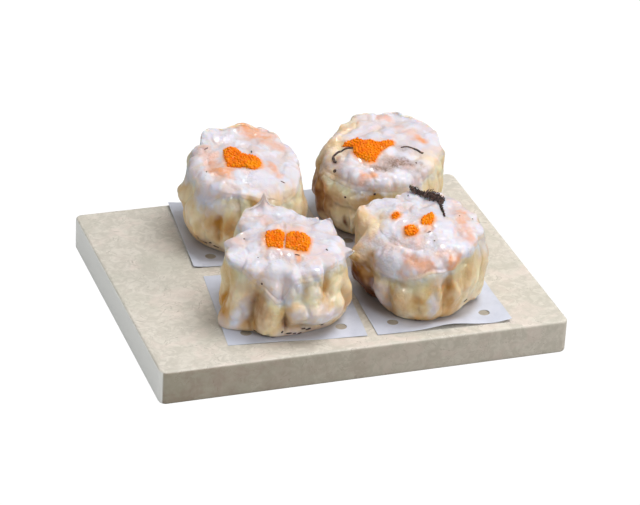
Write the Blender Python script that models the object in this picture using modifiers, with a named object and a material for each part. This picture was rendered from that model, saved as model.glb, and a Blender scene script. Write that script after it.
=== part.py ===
"""Four open-topped pork and shrimp dumplings, each on a square of punched paper, on a slab of pale marble.

Metres, +Z up. The origin is the middle of the slab's underside."""

from dataclasses import dataclass
from math import asin, atan2, cos, exp, hypot, pi, radians, sin
from random import Random

import bmesh
import bpy
from mathutils import Vector, noise

MM = 0.001

# The slab
SLAB_LENGTH = 140 * MM
SLAB_DEPTH = 110 * MM
SLAB_THICKNESS = 12 * MM
SLAB_CORNER_RADIUS = 2.6 * MM
SLAB_EDGE_BEVEL = 0.7 * MM

# The steaming papers
PAPER_SIDE = 46 * MM
PAPER_THICKNESS = 0.3 * MM
PAPER_HOLE_RADIUS = 1.9 * MM
PAPER_HOLE_INSET = 7.2 * MM
PAPER_CELLS = 6

# Clearance between pieces that touch
GAP = 0.3 * MM
TOPPING_GAP = 0.7 * MM

# The dumplings
DUMPLING_TURN = radians(-20)
WRAPPER_WALL = 1.1 * MM
PLEAT_DEPTH = 1.9 * MM
PLEAT_WIDTH = 0.18
PLEAT_RISE = 0.6
PLEAT_AT_BASE = 0.12
PLEAT_UNEVENNESS = 0.28
BASE_SHARE = 0.85
RIM_SHARE = 0.93
BELLY_ROUNDNESS = 0.8
RIM_RUFFLE = 0.7 * MM
FILLING_EDGE_DROP = 0.9 * MM
CROWN_ROUNDNESS = 2.4
LUMP_SIZE = 6.2 * MM
LUMP_HEIGHT = 2.8 * MM
LUMP_PLANE_STEP = 3.7
WRAPPER_SEGMENTS = 44
FILLING_SEGMENTS = 36

PAPER_LEVEL = SLAB_THICKNESS + GAP
DUMPLING_LEVEL = PAPER_LEVEL + PAPER_THICKNESS + GAP

MARBLE = (0.62, 0.57, 0.48, 1)
PAPER_WHITE = (0.80, 0.80, 0.84, 1)
DOUGH = (0.72, 0.56, 0.34, 1)
MINCE = (0.82, 0.74, 0.74, 1)
ROE_ORANGE = (0.95, 0.24, 0.02, 1)
MUSHROOM_BROWN = (0.06, 0.035, 0.03, 1)


@dataclass
class Dumpling:
    """One dumpling. Angles are its own: 0 points along its local +X, a quarter turn later is its back."""

    number: int
    centre: tuple
    radius: float
    rim_height: float
    rim_slope: float
    crown: float
    pleats: int
    tips: tuple

    def pleat_angles(self):
        """The ridges stand at uneven steps round the wall."""
        rng = Random(self.number)
        places = [i + rng.uniform(-PLEAT_UNEVENNESS, PLEAT_UNEVENNESS) for i in range(self.pleats)]
        return [2 * pi * place / self.pleats for place in places]


@dataclass
class Tip:
    """A corner of a wrapper: its angle, how far it stands up and reaches out, and its width as an angle."""

    angle: float
    lift: float
    reach: float
    width: float = 0.22


DUMPLINGS = [
    Dumpling(
        1, (-16.0 * MM, 30.0 * MM), 22.6 * MM, 26.2 * MM, 3.2 * MM, 2.4 * MM, 10,
        (Tip(radians(190), 1.2 * MM, 1.0 * MM), Tip(radians(300), 0.8 * MM, 0.5 * MM)),
    ),
    Dumpling(
        2, (33.3 * MM, 30.6 * MM), 22.3 * MM, 24.8 * MM, 4.4 * MM, 3.4 * MM, 11,
        (Tip(radians(170), 0.8 * MM, 1.0 * MM), Tip(radians(10), 1.0 * MM, 0.8 * MM)),
    ),
    Dumpling(
        3, (-19.6 * MM, -25.7 * MM), 21.2 * MM, 25.0 * MM, 2.8 * MM, 3.0 * MM, 10,
        (
            Tip(radians(115), 6.0 * MM, 0.2 * MM, 0.15),
            Tip(radians(186), 0.8 * MM, 1.4 * MM),
            Tip(radians(357), 0.8 * MM, 2.4 * MM, 0.16),
        ),
    ),
    Dumpling(
        4, (27.6 * MM, -26.6 * MM), 21.6 * MM, 22.8 * MM, 5.0 * MM, 5.2 * MM, 11,
        (Tip(radians(197), 0.6 * MM, 2.0 * MM), Tip(radians(166), 1.6 * MM, 0.8 * MM)),
    ),
]


@dataclass
class Paper:
    """One punched square: its middle, its turn, and how far its back left corner curls up."""

    number: int
    centre: tuple
    turn: float
    corner_lift: float


PAPERS = [
    Paper(1, (-15.6 * MM, 29.4 * MM), radians(-5), 1.0 * MM),
    Paper(2, (33.3 * MM, 29.4 * MM), radians(-4), 0),
    Paper(3, (-18.8 * MM, -23.3 * MM), radians(-6.5), 0),
    Paper(4, (29.0 * MM, -27.0 * MM), radians(-2.5), 0),
]


def clear_scene():
    for obj in list(bpy.data.objects):
        bpy.data.objects.remove(obj, do_unlink=True)


def collection(name):
    made = bpy.data.collections.new(name)
    bpy.context.scene.collection.children.link(made)
    return made


def finish(name, colour, roughness):
    """A plain Principled material."""
    material = bpy.data.materials.new(name)
    material.use_nodes = True
    shader = material.node_tree.nodes["Principled BSDF"]
    shader.inputs["Base Color"].default_value = colour
    shader.inputs["Roughness"].default_value = roughness
    shader.inputs["Metallic"].default_value = 0
    return material


def add_object(name, bm, material, home, smooth=True):
    """Puts a finished bmesh into the scene as one named object."""
    mesh = bpy.data.meshes.new(name)
    bm.to_mesh(mesh)
    bm.free()
    mesh.materials.append(material)
    if smooth:
        mesh.shade_smooth()
    obj = bpy.data.objects.new(name, mesh)
    home.objects.link(obj)
    return obj


def shaped_ball(segments, steps, place):
    """A sphere whose points are moved: place(angle, step) gives a point for each angle round Z and each step,
    from step 0, the bottom pole, to the last one, the top pole."""
    bm = bmesh.new()
    bmesh.ops.create_uvsphere(bm, u_segments=segments, v_segments=steps, radius=1)
    for vert in bm.verts:
        x, y, z = vert.co
        step = round((asin(max(-1, min(1, z))) / pi + 0.5) * steps)
        vert.co = place(atan2(y, x), step)
    return bm


def bump(angle, middle, width):
    """A smooth hump of height 1 on a circle."""
    away = (angle - middle + pi) % (2 * pi) - pi
    return exp(-((away / width) ** 2))


def between(low, high, share):
    return low + (high - low) * share


# ---- The wrapper ----


def rim_at(dumpling, angle):
    """How high the wrapper's edge stands: it slopes up to the back, ruffles, and rises at its corners."""
    height = dumpling.rim_height + dumpling.rim_slope * sin(angle)
    height += RIM_RUFFLE * sin(dumpling.pleats * angle + dumpling.number)
    for tip in dumpling.tips:
        height += tip.lift * bump(angle, tip.angle, tip.width)
    return height


def barrel(dumpling, level):
    """The radius of the wall at a level from 0, the base, to 1, the rim, without its pleats."""
    foot = between(BASE_SHARE, RIM_SHARE, level)
    belly = 1 - between(BASE_SHARE, RIM_SHARE, 0.5)
    return dumpling.radius * (foot + belly * sin(pi * level) ** BELLY_ROUNDNESS)


def inner_radius(dumpling, level):
    return barrel(dumpling, level) - WRAPPER_WALL - PLEAT_DEPTH


def outer_radius(dumpling, angle, level):
    """The wall with its pleats, which fade out towards the base, and with its corners leaning out."""
    ridge = max(bump(angle, middle, PLEAT_WIDTH) for middle in dumpling.pleat_angles())
    fade = between(PLEAT_AT_BASE, 1, level**PLEAT_RISE)
    radius = barrel(dumpling, level) - PLEAT_DEPTH * (1 - ridge * fade)
    for tip in dumpling.tips:
        radius += tip.reach * level**3 * bump(angle, tip.angle, tip.width)
    return radius


# The wrapper's steps from its outer bottom pole to its inner one: their stretches and how far along each is
WRAPPER_STEPS = [
    ("under", 0.0), ("under", 0.6), ("under", 0.94),
    ("outer", 0.05), ("outer", 0.24), ("outer", 0.46), ("outer", 0.68), ("outer", 0.86), ("outer", 0.97),
    ("inner", 1.0), ("inner", 0.78), ("inner", 0.40), ("inner", 0.0), ("floor", 0.0),
]


def wrapper(dumpling, material, home):
    """A pleated cup: its underside, outer wall, rim, inner wall and floor in one closed skin."""

    def place(angle, step):
        stretch, share = WRAPPER_STEPS[step]
        rim = rim_at(dumpling, angle)
        if stretch == "under":
            radius, height = share * dumpling.radius * BASE_SHARE, 0
        elif stretch == "outer":
            radius, height = outer_radius(dumpling, angle, share), share * rim
        elif stretch == "inner":
            radius, height = inner_radius(dumpling, share), between(WRAPPER_WALL, rim, share)
        else:
            radius, height = 0, WRAPPER_WALL
        return Vector((radius * cos(angle), radius * sin(angle), height))

    bm = shaped_ball(WRAPPER_SEGMENTS, len(WRAPPER_STEPS) - 1, place)
    return stand(add_object(f"wrapper_{dumpling.number}", bm, material, home), dumpling)


# ---- The filling ----

# Each step of the filling from its bottom pole to its crown
FILLING_STEPS = [
    ("floor", 0.0), ("side", 0.0), ("side", 0.40), ("side", 0.78),
    ("top", 1.0), ("top", 0.86), ("top", 0.70), ("top", 0.53), ("top", 0.35), ("top", 0.17), ("top", 0.0),
]


def filling_edge(dumpling, angle):
    """The level of the filling's outer edge, just under the rim, and its radius there."""
    rim = rim_at(dumpling, angle)
    level = (rim - FILLING_EDGE_DROP - WRAPPER_WALL) / (rim - WRAPPER_WALL)
    return level, inner_radius(dumpling, level) - GAP


def filling_top(dumpling, x, y):
    """The height of the lumpy crown at a place on the dumpling."""
    angle = atan2(y, x)
    _, edge = filling_edge(dumpling, angle)
    share = min(1, hypot(x, y) / edge)
    low = rim_at(dumpling, angle) - FILLING_EDGE_DROP
    high = dumpling.rim_height + dumpling.crown
    place = Vector((x / LUMP_SIZE, y / LUMP_SIZE, LUMP_PLANE_STEP * dumpling.number))
    lumps = LUMP_HEIGHT * noise.noise(place) * (1 - share**4)
    return between(high, low, share**CROWN_ROUNDNESS) + lumps


def filling(dumpling, material, home):
    """The mince that fills the cup and rises over it in a lumpy crown."""

    def place(angle, step):
        stretch, share = FILLING_STEPS[step]
        rim = rim_at(dumpling, angle)
        if stretch == "floor":
            radius, height = share * (inner_radius(dumpling, 0) - GAP), WRAPPER_WALL + GAP
        elif stretch == "side":
            radius = inner_radius(dumpling, share) - GAP
            height = between(WRAPPER_WALL, rim, share) + (1 - share) * GAP
        else:
            radius = share * filling_edge(dumpling, angle)[1]
            height = filling_top(dumpling, radius * cos(angle), radius * sin(angle))
        return Vector((radius * cos(angle), radius * sin(angle), height))

    bm = shaped_ball(FILLING_SEGMENTS, len(FILLING_STEPS) - 1, place)
    return stand(add_object(f"filling_{dumpling.number}", bm, material, home), dumpling)


def stand(obj, dumpling):
    """Stands a piece of a dumpling where the dumpling is."""
    obj.location = (*dumpling.centre, DUMPLING_LEVEL)
    obj.rotation_euler = (0, 0, DUMPLING_TURN)
    return obj


# ---- The toppings ----

ROE_STEPS = 8
ROE_SEGMENTS = 16
ROE_EDGE_SHARE = 0.2
ROE_SQUARENESS = 0.5
ROE_DENT = 0.12


def roe_heap(name, dumpling, middle, length, width, thickness, bend, material, home):
    """A low heap of roe that lies on the crown: a bar with round ends, dented and bent along its length."""

    def place(angle, step):
        latitude = pi * (step / ROE_STEPS - 0.5)
        rise = sin(latitude)
        share = cos(latitude) ** ROE_SQUARENESS
        dent = 1 + ROE_DENT * sin(3 * angle + dumpling.number)
        x = length / 2 * share * dent * cos(angle)
        y = width / 2 * share * dent * sin(angle) + bend * (2 * x / length) ** 2
        x, y = x + middle[0], y + middle[1]
        above = thickness * between(ROE_EDGE_SHARE, 1, rise) if 2 * step >= ROE_STEPS else 0
        return Vector((x, y, filling_top(dumpling, x, y) + TOPPING_GAP + above))

    bm = shaped_ball(ROE_SEGMENTS, ROE_STEPS, place)
    return stand(add_object(name, bm, material, home), dumpling)


STRIP_SEGMENTS = 10
STRIP_STEPS = 10
STRIP_TAPER = 0.5


def mushroom_strip(name, strip, dumpling, material, home):
    """A strip of mushroom on the crown along a bent line, flat underneath and tapered at its ends."""

    def place(angle, step):
        share = step / STRIP_STEPS
        start, middle, end = Vector(strip.start), Vector(strip.middle), Vector(strip.end)
        first, second = middle - start, end - middle
        line = start + first * share * (2 - share) + second * share**2
        ahead = first.lerp(second, share).normalized()
        taper = sin(pi * share) ** STRIP_TAPER
        side = Vector((-ahead.y, ahead.x)) * cos(angle) * taper * strip.width / 2
        x, y = line.x + side.x, line.y + side.y
        rise = TOPPING_GAP + taper * strip.thickness * (1 + sin(angle)) / 2
        return Vector((x, y, filling_top(dumpling, x, y) + rise))

    bm = shaped_ball(STRIP_SEGMENTS, STRIP_STEPS, place)
    return stand(add_object(name, bm, material, home), dumpling)


# Each heap of roe: its dumpling, its middle on it, its length, width, thickness and bend
ROE_HEAPS = {
    "roe_1": (1, (-1.4 * MM, -2.8 * MM), 13.0 * MM, 8.6 * MM, 2.0 * MM, 0.6 * MM),
    "roe_2": (2, (-4.4 * MM, -4.8 * MM), 14.0 * MM, 8.6 * MM, 2.2 * MM, 1.2 * MM),
    "roe_3": (3, (0.3 * MM, -3.8 * MM), 14.4 * MM, 8.6 * MM, 2.0 * MM, -0.4 * MM),
    "roe_4_left": (4, (-9.6 * MM, 0.9 * MM), 2.8 * MM, 4.2 * MM, 1.2 * MM, 0),
    "roe_4_front": (4, (-4.5 * MM, -7.0 * MM), 4.6 * MM, 3.8 * MM, 1.4 * MM, 0),
    "roe_4_right": (4, (0.8 * MM, -2.4 * MM), 3.8 * MM, 5.2 * MM, 1.6 * MM, 0),
}


@dataclass
class Strip:
    """One strip of mushroom: its dumpling, three points of its line, its width and its thickness."""

    number: int
    start: tuple
    middle: tuple
    end: tuple
    width: float
    thickness: float


MUSHROOM_STRIPS = {
    "mushroom_2_left": Strip(
        2, (-12.8 * MM, -3.4 * MM), (-16.0 * MM, -3.4 * MM), (-13.8 * MM, -8.8 * MM), 1.6 * MM, 1.2 * MM
    ),
    "mushroom_2_right": Strip(
        2, (6.8 * MM, -4.0 * MM), (10.4 * MM, -1.6 * MM), (14.0 * MM, -4.8 * MM), 1.6 * MM, 1.2 * MM
    ),
    "mushroom_4": Strip(
        4, (-3.4 * MM, 15.8 * MM), (6.4 * MM, 15.4 * MM), (6.6 * MM, 3.0 * MM), 2.8 * MM, 1.8 * MM
    ),
}


# ---- The paper and the slab ----

HOLE_SEGMENTS = 12
PUNCH_LENGTH = 20 * MM
CURL_START = 24 * MM


def paper(sheet, material, home, cutters):
    """A thin square with a round hole near each corner, curling up at its back left corner."""
    bm = bmesh.new()
    bmesh.ops.create_grid(bm, x_segments=PAPER_CELLS, y_segments=PAPER_CELLS, size=PAPER_SIDE / 2)
    reach = hypot(PAPER_SIDE, PAPER_SIDE) / 2 - CURL_START
    for vert in bm.verts:
        outward = Vector((-1, 1)).normalized().dot(vert.co.xy)
        vert.co.z += sheet.corner_lift * max(0, (outward - CURL_START) / reach) ** 2
    obj = add_object(f"paper_{sheet.number}", bm, material, home)
    obj.location = (*sheet.centre, PAPER_LEVEL)
    obj.rotation_euler = (0, 0, sheet.turn)
    solid = obj.modifiers.new("Thickness", "SOLIDIFY")
    solid.thickness = PAPER_THICKNESS
    solid.offset = 1
    holes = obj.modifiers.new("Holes", "BOOLEAN")
    holes.operation = "DIFFERENCE"
    holes.solver = "EXACT"
    holes.object = hole_punch(obj, cutters)
    return obj


def hole_punch(obj, cutters):
    """Four upright pins, one for each corner hole of a paper."""
    bm = bmesh.new()
    offset = PAPER_SIDE / 2 - PAPER_HOLE_INSET
    for x in (-offset, offset):
        for y in (-offset, offset):
            made = bmesh.ops.create_cone(bm, cap_ends=True, segments=HOLE_SEGMENTS, radius1=PAPER_HOLE_RADIUS,
                                         radius2=PAPER_HOLE_RADIUS, depth=PUNCH_LENGTH)
            bmesh.ops.translate(bm, verts=made["verts"], vec=(x, y, 0))
    mesh = bpy.data.meshes.new(f"{obj.name}_punch")
    bm.to_mesh(mesh)
    bm.free()
    punch = bpy.data.objects.new(f"{obj.name}_punch", mesh)
    punch.location = obj.location
    punch.rotation_euler = obj.rotation_euler
    punch.hide_render = True
    punch.display_type = "WIRE"
    cutters.objects.link(punch)
    return punch


def slab(material, home):
    """The marble slab: round upright corners and a small bevel along every edge."""
    bm = bmesh.new()
    bmesh.ops.create_cube(bm, size=1)
    bmesh.ops.scale(bm, verts=bm.verts, vec=(SLAB_LENGTH, SLAB_DEPTH, SLAB_THICKNESS))
    bmesh.ops.translate(bm, verts=bm.verts, vec=(0, 0, SLAB_THICKNESS / 2))
    upright = [edge for edge in bm.edges if abs(edge.verts[0].co.z - edge.verts[1].co.z) > SLAB_THICKNESS / 2]
    bmesh.ops.bevel(bm, geom=upright, offset=SLAB_CORNER_RADIUS, segments=5, profile=0.5, affect="EDGES")
    obj = add_object("stone_slab", bm, material, home, smooth=False)
    bevel = obj.modifiers.new("Edge", "BEVEL")
    bevel.width = SLAB_EDGE_BEVEL
    bevel.segments = 2
    bevel.limit_method = "ANGLE"
    bevel.angle_limit = radians(60)
    return obj


def main():
    clear_scene()
    home = collection("siu_mai_dumplings")
    cutters = collection("cutters")
    stone = finish("pale marble", MARBLE, 0.45)
    white_paper = finish("steaming paper", PAPER_WHITE, 0.7)
    dough = finish("steamed dough", DOUGH, 0.3)
    mince = finish("shrimp and pork mince", MINCE, 0.25)
    roe = finish("flying fish roe", ROE_ORANGE, 0.2)
    mushroom = finish("mushroom", MUSHROOM_BROWN, 0.5)

    slab(stone, home)
    for sheet in PAPERS:
        paper(sheet, white_paper, home, cutters)
    for dumpling in DUMPLINGS:
        wrapper(dumpling, dough, home)
        filling(dumpling, mince, home)
    by_number = {dumpling.number: dumpling for dumpling in DUMPLINGS}
    for name, (number, *sizes) in ROE_HEAPS.items():
        roe_heap(name, by_number[number], *sizes, roe, home)
    for name, strip in MUSHROOM_STRIPS.items():
        mushroom_strip(name, strip, by_number[strip.number], mushroom, home)


main()
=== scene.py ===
"""Four steamed siu mai, each on a punched square of steaming paper, served on a slab of pale marble."""

from dataclasses import dataclass
from functools import cache
from math import cos, hypot, pi, radians, sin
from random import Random

import bpy
import numpy as np
from mathutils import Matrix, Vector, noise
from mathutils.bvhtree import BVHTree


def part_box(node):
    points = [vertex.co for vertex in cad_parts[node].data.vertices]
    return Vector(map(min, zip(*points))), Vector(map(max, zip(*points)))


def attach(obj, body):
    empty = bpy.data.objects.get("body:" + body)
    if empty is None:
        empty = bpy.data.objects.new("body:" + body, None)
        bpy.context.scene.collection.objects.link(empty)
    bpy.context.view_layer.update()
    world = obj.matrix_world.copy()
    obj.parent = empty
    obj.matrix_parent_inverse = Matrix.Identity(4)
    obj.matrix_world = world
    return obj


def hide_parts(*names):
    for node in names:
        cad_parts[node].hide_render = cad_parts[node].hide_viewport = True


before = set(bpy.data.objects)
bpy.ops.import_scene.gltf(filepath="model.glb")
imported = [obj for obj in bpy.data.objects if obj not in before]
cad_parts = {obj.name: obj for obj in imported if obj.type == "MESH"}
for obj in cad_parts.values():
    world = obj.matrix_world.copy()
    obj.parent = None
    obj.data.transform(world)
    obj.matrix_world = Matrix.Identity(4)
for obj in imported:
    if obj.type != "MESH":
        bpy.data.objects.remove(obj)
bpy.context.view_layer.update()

MM = 0.001
TURN = radians(-20)  # the dumplings' own +X points this way round from the slab's

SLAB_LOW, SLAB_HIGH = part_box("stone_slab")
SLAB_TOP = SLAB_HIGH.z
PAPER_SHEET = 0.14 * MM
PAPER_FLOOR = SLAB_TOP + 0.03 * MM
DUMPLING_FLOOR = PAPER_FLOOR + PAPER_SHEET + 0.02 * MM


# ---------------------------------------------------------------- shader sums and nodes


class Value:
    """A shader socket that does sums: an expression on values adds its Math nodes."""

    def __init__(self, finish, socket):
        self.finish = finish
        self.socket = socket

    def sum(self, operation, *terms):
        node = self.finish.node("ShaderNodeMath", {"operation": operation}, dict(enumerate(terms)))
        return Value(self.finish, node.outputs[0])

    def __add__(self, other):
        return self.sum("ADD", self, other)

    def __sub__(self, other):
        return self.sum("SUBTRACT", self, other)

    def __rsub__(self, other):
        return self.sum("SUBTRACT", other, self)

    def __mul__(self, other):
        return self.sum("MULTIPLY", self, other)

    def __pow__(self, other):
        return self.sum("POWER", self, other)

    __radd__ = __add__
    __rmul__ = __mul__

    def __abs__(self):
        return self.sum("ABSOLUTE", self)

    def max(self, other):
        return self.sum("MAXIMUM", self, other)

    def step(self, low, high):
        """A soft step: 0 below low, 1 above high."""
        sockets = {"Value": self, "From Min": low, "From Max": high}
        node = self.finish.node("ShaderNodeMapRange", {"interpolation_type": "SMOOTHSTEP"}, sockets)
        return Value(self.finish, node.outputs["Result"])


class Nodes:
    """A node tree while it is being made."""

    def __init__(self, tree):
        self.tree = tree

    def node(self, kind, settings=None, sockets=None):
        """Adds a node, sets its settings, then gives its sockets their values or links."""
        made = self.tree.nodes.new(kind)
        for key, value in (settings or {}).items():
            setattr(made, key, value)
        for key, value in (sockets or {}).items():
            value = value.socket if isinstance(value, Value) else value
            if isinstance(value, bpy.types.NodeSocket):
                self.tree.links.new(value, made.inputs[key])
            else:
                made.inputs[key].default_value = value
        return made


class Finish(Nodes):
    """A material while it is being made."""

    def __init__(self, name):
        self.material = bpy.data.materials.new(name)
        self.material.use_nodes = True
        super().__init__(self.material.node_tree)
        self.tree.nodes.clear()

    def place(self):
        return self.node("ShaderNodeTexCoord").outputs["Object"]

    def attribute(self, name):
        return Value(self, self.node("ShaderNodeAttribute", {"attribute_name": name}).outputs["Fac"])

    def length(self, vector):
        """How long a vector is."""
        made = self.node("ShaderNodeVectorMath", {"operation": "LENGTH"}, {0: vector})
        return Value(self, made.outputs["Value"])

    def mapped(self, location, scale, turn=0.0, **settings):
        """Each point's place, moved, scaled and turned round the upright axis."""
        sockets = {"Vector": self.place(), "Location": location, "Rotation": (0, 0, turn), "Scale": scale}
        return self.node("ShaderNodeMapping", settings, sockets).outputs[0]

    def noise(self, size, detail=3.0, roughness=0.55, distortion=0.0, shift=0.0, stretch=1.0):
        """Smooth noise from 0 to 1 whose patches are about this size, in metres. A stretch under 1 makes them
        tall."""
        place = self.mapped((shift, shift, shift), (1, 1, stretch))
        sockets = {"Vector": place, "Scale": 1 / size, "Detail": detail, "Roughness": roughness}
        made = self.node("ShaderNodeTexNoise", {}, {**sockets, "Distortion": distortion})
        return Value(self, made.outputs["Fac"])

    def cells(self, size):
        """Round spots about this size, in metres: 0 in their middles and about 1 between them."""
        sockets = {"Vector": self.place(), "Scale": 1 / size}
        return Value(self, self.node("ShaderNodeTexVoronoi", {}, sockets).outputs["Distance"])

    def mix(self, share, first, second):
        """A colour between two colours, each a tuple or a socket."""
        sockets = {"Factor": share, 6: first, 7: second}
        return self.node("ShaderNodeMix", {"data_type": "RGBA", "clamp_factor": True}, sockets).outputs[2]

    def coats(self, colour, *rows):
        """A colour with others over it in turn. Each row says how strongly one covers, and its colour."""
        for share, over in rows:
            colour = self.mix(share, colour, over)
        return colour

    def bump(self, height, depth, strength=1.0, normal=None):
        sockets = {"Height": height, "Distance": depth, "Strength": strength}
        if normal:
            sockets["Normal"] = normal
        return self.node("ShaderNodeBump", {}, sockets).outputs["Normal"]

    def done(self, **sockets):
        """Ends the material in a Principled shader with these sockets."""
        names = {key.replace("_", " "): value for key, value in sockets.items()}
        shader = self.node("ShaderNodeBsdfPrincipled", {}, names)
        self.node("ShaderNodeOutputMaterial", {}, {"Surface": shader.outputs[0]})
        return self.material


NUMBER, WHOLE_NUMBER = "NodeSocketFloat", "NodeSocketInt"


class Making(Nodes):
    """A Geometry Nodes tree while it is being made, with its named inputs."""

    def __init__(self, name, **inputs):
        super().__init__(bpy.data.node_groups.new(name, "GeometryNodeTree"))
        kinds = {"Geometry": "NodeSocketGeometry", "Material": "NodeSocketMaterial", **inputs}
        for key, kind in kinds.items():
            self.tree.interface.new_socket(key.replace("_", " "), in_out="INPUT", socket_type=kind)
        self.tree.interface.new_socket("Made", in_out="OUTPUT", socket_type="NodeSocketGeometry")
        self.given = self.node("NodeGroupInput").outputs

    def made(self, kind, sockets, **settings):
        """Adds a node and gives its first output."""
        return self.node(kind, settings, sockets).outputs[0]

    def ends(self, geometry):
        """Ends the tree: real meshes with the material on them."""
        real = self.made("GeometryNodeRealizeInstances", {"Geometry": geometry})
        painted = self.made("GeometryNodeSetMaterial", {"Geometry": real, "Material": self.given["Material"]})
        self.node("NodeGroupOutput", {}, {"Made": painted})
        return self

    def run(self, obj, **values):
        """Runs the tree on an object with these inputs and keeps the result as its plain mesh."""
        modifier = obj.modifiers.new(self.tree.name, "NODES")
        modifier.node_group = self.tree
        for item in self.tree.interface.items_tree:
            if item.in_out == "INPUT" and item.name.replace(" ", "_") in values:
                modifier[item.identifier] = values[item.name.replace(" ", "_")]
        return applied(obj)


def colour_of(*screen):
    """A colour given as it looks on a screen, from 0 to 255, as the linear numbers that shaders use."""
    linear = [((c / 255 + 0.055) / 1.055) ** 2.4 if c > 10 else c / 255 / 12.92 for c in screen]
    return (*linear, 1)


# ---------------------------------------------------------------- shapes


def circle_gap(angle, middle):
    """How far apart two angles are, with its sign, going the short way round."""
    return (angle - middle + pi) % (2 * pi) - pi


def soft_step(value, low, high):
    """Rises softly from 0 at low to 1 at high."""
    share = np.clip((value - low) / (high - low), 0, 1)
    return share * share * (3 - 2 * share)


def fade(value, low, high):
    """Falls softly from 1 at low to 0 at high."""
    return 1 - soft_step(value, low, high)


def turned(x, y, turn):
    """A place turned round the upright axis."""
    return x * cos(turn) - y * sin(turn), x * sin(turn) + y * cos(turn)


def around(stations, angle):
    """Reads a line that runs round a dumpling from its stations, each an angle in degrees and a value."""
    places = np.radians([place for place, _ in stations])
    values = np.array([value for _, value in stations], float)
    places = np.concatenate([places, [places[0] + 2 * pi]])
    values = np.append(values, values[0])
    angle = places[0] + (angle - places[0]) % (2 * pi)
    after = np.clip(np.searchsorted(places, angle, side="right"), 1, len(places) - 1)
    low, high = places[after - 1], places[after]
    share = soft_step(angle, low, high)
    return values[after - 1] + (values[after] - values[after - 1]) * share


def wobble(points, size, seed):
    """Smooth noise from about -1 to 1 at each point. Points and size share a unit."""
    shift = Vector((seed * 7.31, seed * 3.17, seed * 5.73))
    flat = points.reshape(-1, 3) / size
    return np.array([noise.noise(Vector(p) + shift) for p in flat]).reshape(points.shape[:-1])


def to_world(points, middle):
    """Turns points from a dumpling's own millimetres into metres on the slab."""
    x, y = turned(points[..., 0], points[..., 1], TURN)
    return np.stack([x, y, points[..., 2]], axis=-1) * MM + np.array([middle.x, middle.y, DUMPLING_FLOOR])


def closed_rings(rings, first_pole, last_pole):
    """Points and faces of a closed skin: a pole, rings of equal count, and another pole."""
    rows, columns = rings.shape[:2]
    points = np.concatenate([rings.reshape(-1, 3), [first_pole], [last_pole]])
    here = np.arange(rows * columns).reshape(rows, columns)
    beside = np.roll(here, -1, axis=1)
    quads = np.stack([here[:-1], beside[:-1], beside[1:], here[1:]], axis=-1).reshape(-1, 4)
    faces = quads.tolist()
    start, end = rows * columns, rows * columns + 1
    faces += [[start, int(beside[0, i]), int(here[0, i])] for i in range(columns)]
    faces += [[end, int(here[-1, i]), int(beside[-1, i])] for i in range(columns)]
    return points, faces


def joined(parts):
    """The points and faces of several parts as one."""
    points, faces = [], []
    for more, sides in parts:
        faces += [[len(points) + i for i in side] for side in sides]
        points += list(more)
    return points, faces


def add_mesh(name, points, faces, smooth=True):
    mesh = bpy.data.meshes.new(name)
    mesh.from_pydata(np.asarray(points).tolist(), [], faces)
    mesh.update()
    if smooth:
        mesh.shade_smooth()
    obj = bpy.data.objects.new(name, mesh)
    bpy.context.scene.collection.objects.link(obj)
    return obj


def store(obj, name, values):
    """Keeps a number for each point of a mesh, for its material to read."""
    attribute = obj.data.attributes.new(name, "FLOAT", "POINT")
    attribute.data.foreach_set("value", np.ascontiguousarray(values, np.float32))


def applied(obj):
    """The object with its modifiers applied, as a plain mesh of its own."""
    mesh = bpy.data.meshes.new_from_object(obj.evaluated_get(bpy.context.evaluated_depsgraph_get()))
    obj.modifiers.clear()
    obj.data = mesh
    return obj


def points_of(obj):
    flat = np.empty(len(obj.data.vertices) * 3, np.float32)
    obj.data.vertices.foreach_get("co", flat)
    return flat.reshape(-1, 3).astype(float)


def move_points(obj, points):
    obj.data.vertices.foreach_set("co", np.ascontiguousarray(points, np.float32).ravel())
    obj.data.update()


def finished(obj, material, slot, *nodes):
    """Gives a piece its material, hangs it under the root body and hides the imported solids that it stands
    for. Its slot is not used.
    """
    obj.data.materials.clear()
    obj.data.materials.append(material)
    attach(obj, "root")
    if nodes:
        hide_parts(*nodes)
    return obj


# ---------------------------------------------------------------- the dumplings, in their own millimetres


@dataclass
class Crease:
    """A crease where two lobes of dough meet. It stands at an angle in degrees half way up, drifts on its way
    up and lives between two heights."""

    angle: float
    depth: float = 1.7
    drift: float = 0
    low: float = -6
    high: float = 40


@dataclass
class Bulge:
    """A swelling of the dough, or a hollow where it is below 0."""

    angle: float
    height: float
    width: float
    tall: float
    out: float


@dataclass
class Tip:
    """A pointed corner of dough at the rim. A power of 2 rounds its point, and one near 1 makes it sharp."""

    angle: float
    lift: float
    out: float
    width: float = 5.5
    power: float = 2.0

    def near(self, angle):
        return np.exp(-(np.abs(circle_gap(angle, radians(self.angle)) / radians(self.width)) ** self.power))


@dataclass
class Stain:
    """A patch of colour on the side: the dough's or the mince's own colour, or painted shade or a painted
    highlight, as its kind says. It leans where its top is aside of its foot.
    """

    angle: float
    height: float
    width: float
    tall: float
    strength: float = 1.0
    lean: float = 0


@dataclass
class Dumpling:
    """One dumpling. Angles are in degrees: 0 is its right, 90 its back, 180 its left and 270 its front."""

    number: int
    radius: float
    crown: float
    plan: tuple  # angle, radius
    rim: tuple  # angle, height
    creases: tuple
    bulges: tuple
    tips: tuple
    lumps: tuple  # x, y, radius, rise over the crown
    shrimps: tuple  # start, end, radius, strength of its colour
    stains: dict  # mince that comes down, dough that climbs up, amber dough, cream dough that is partly a painted highlight, and brown painted shade
    gills: tuple = ()  # brown mushroom gills in the mince: x, y, half length, half width, strength

    @property
    def middle(self):
        low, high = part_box(f"filling_{self.number}")
        return (low + high) / 2


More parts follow.
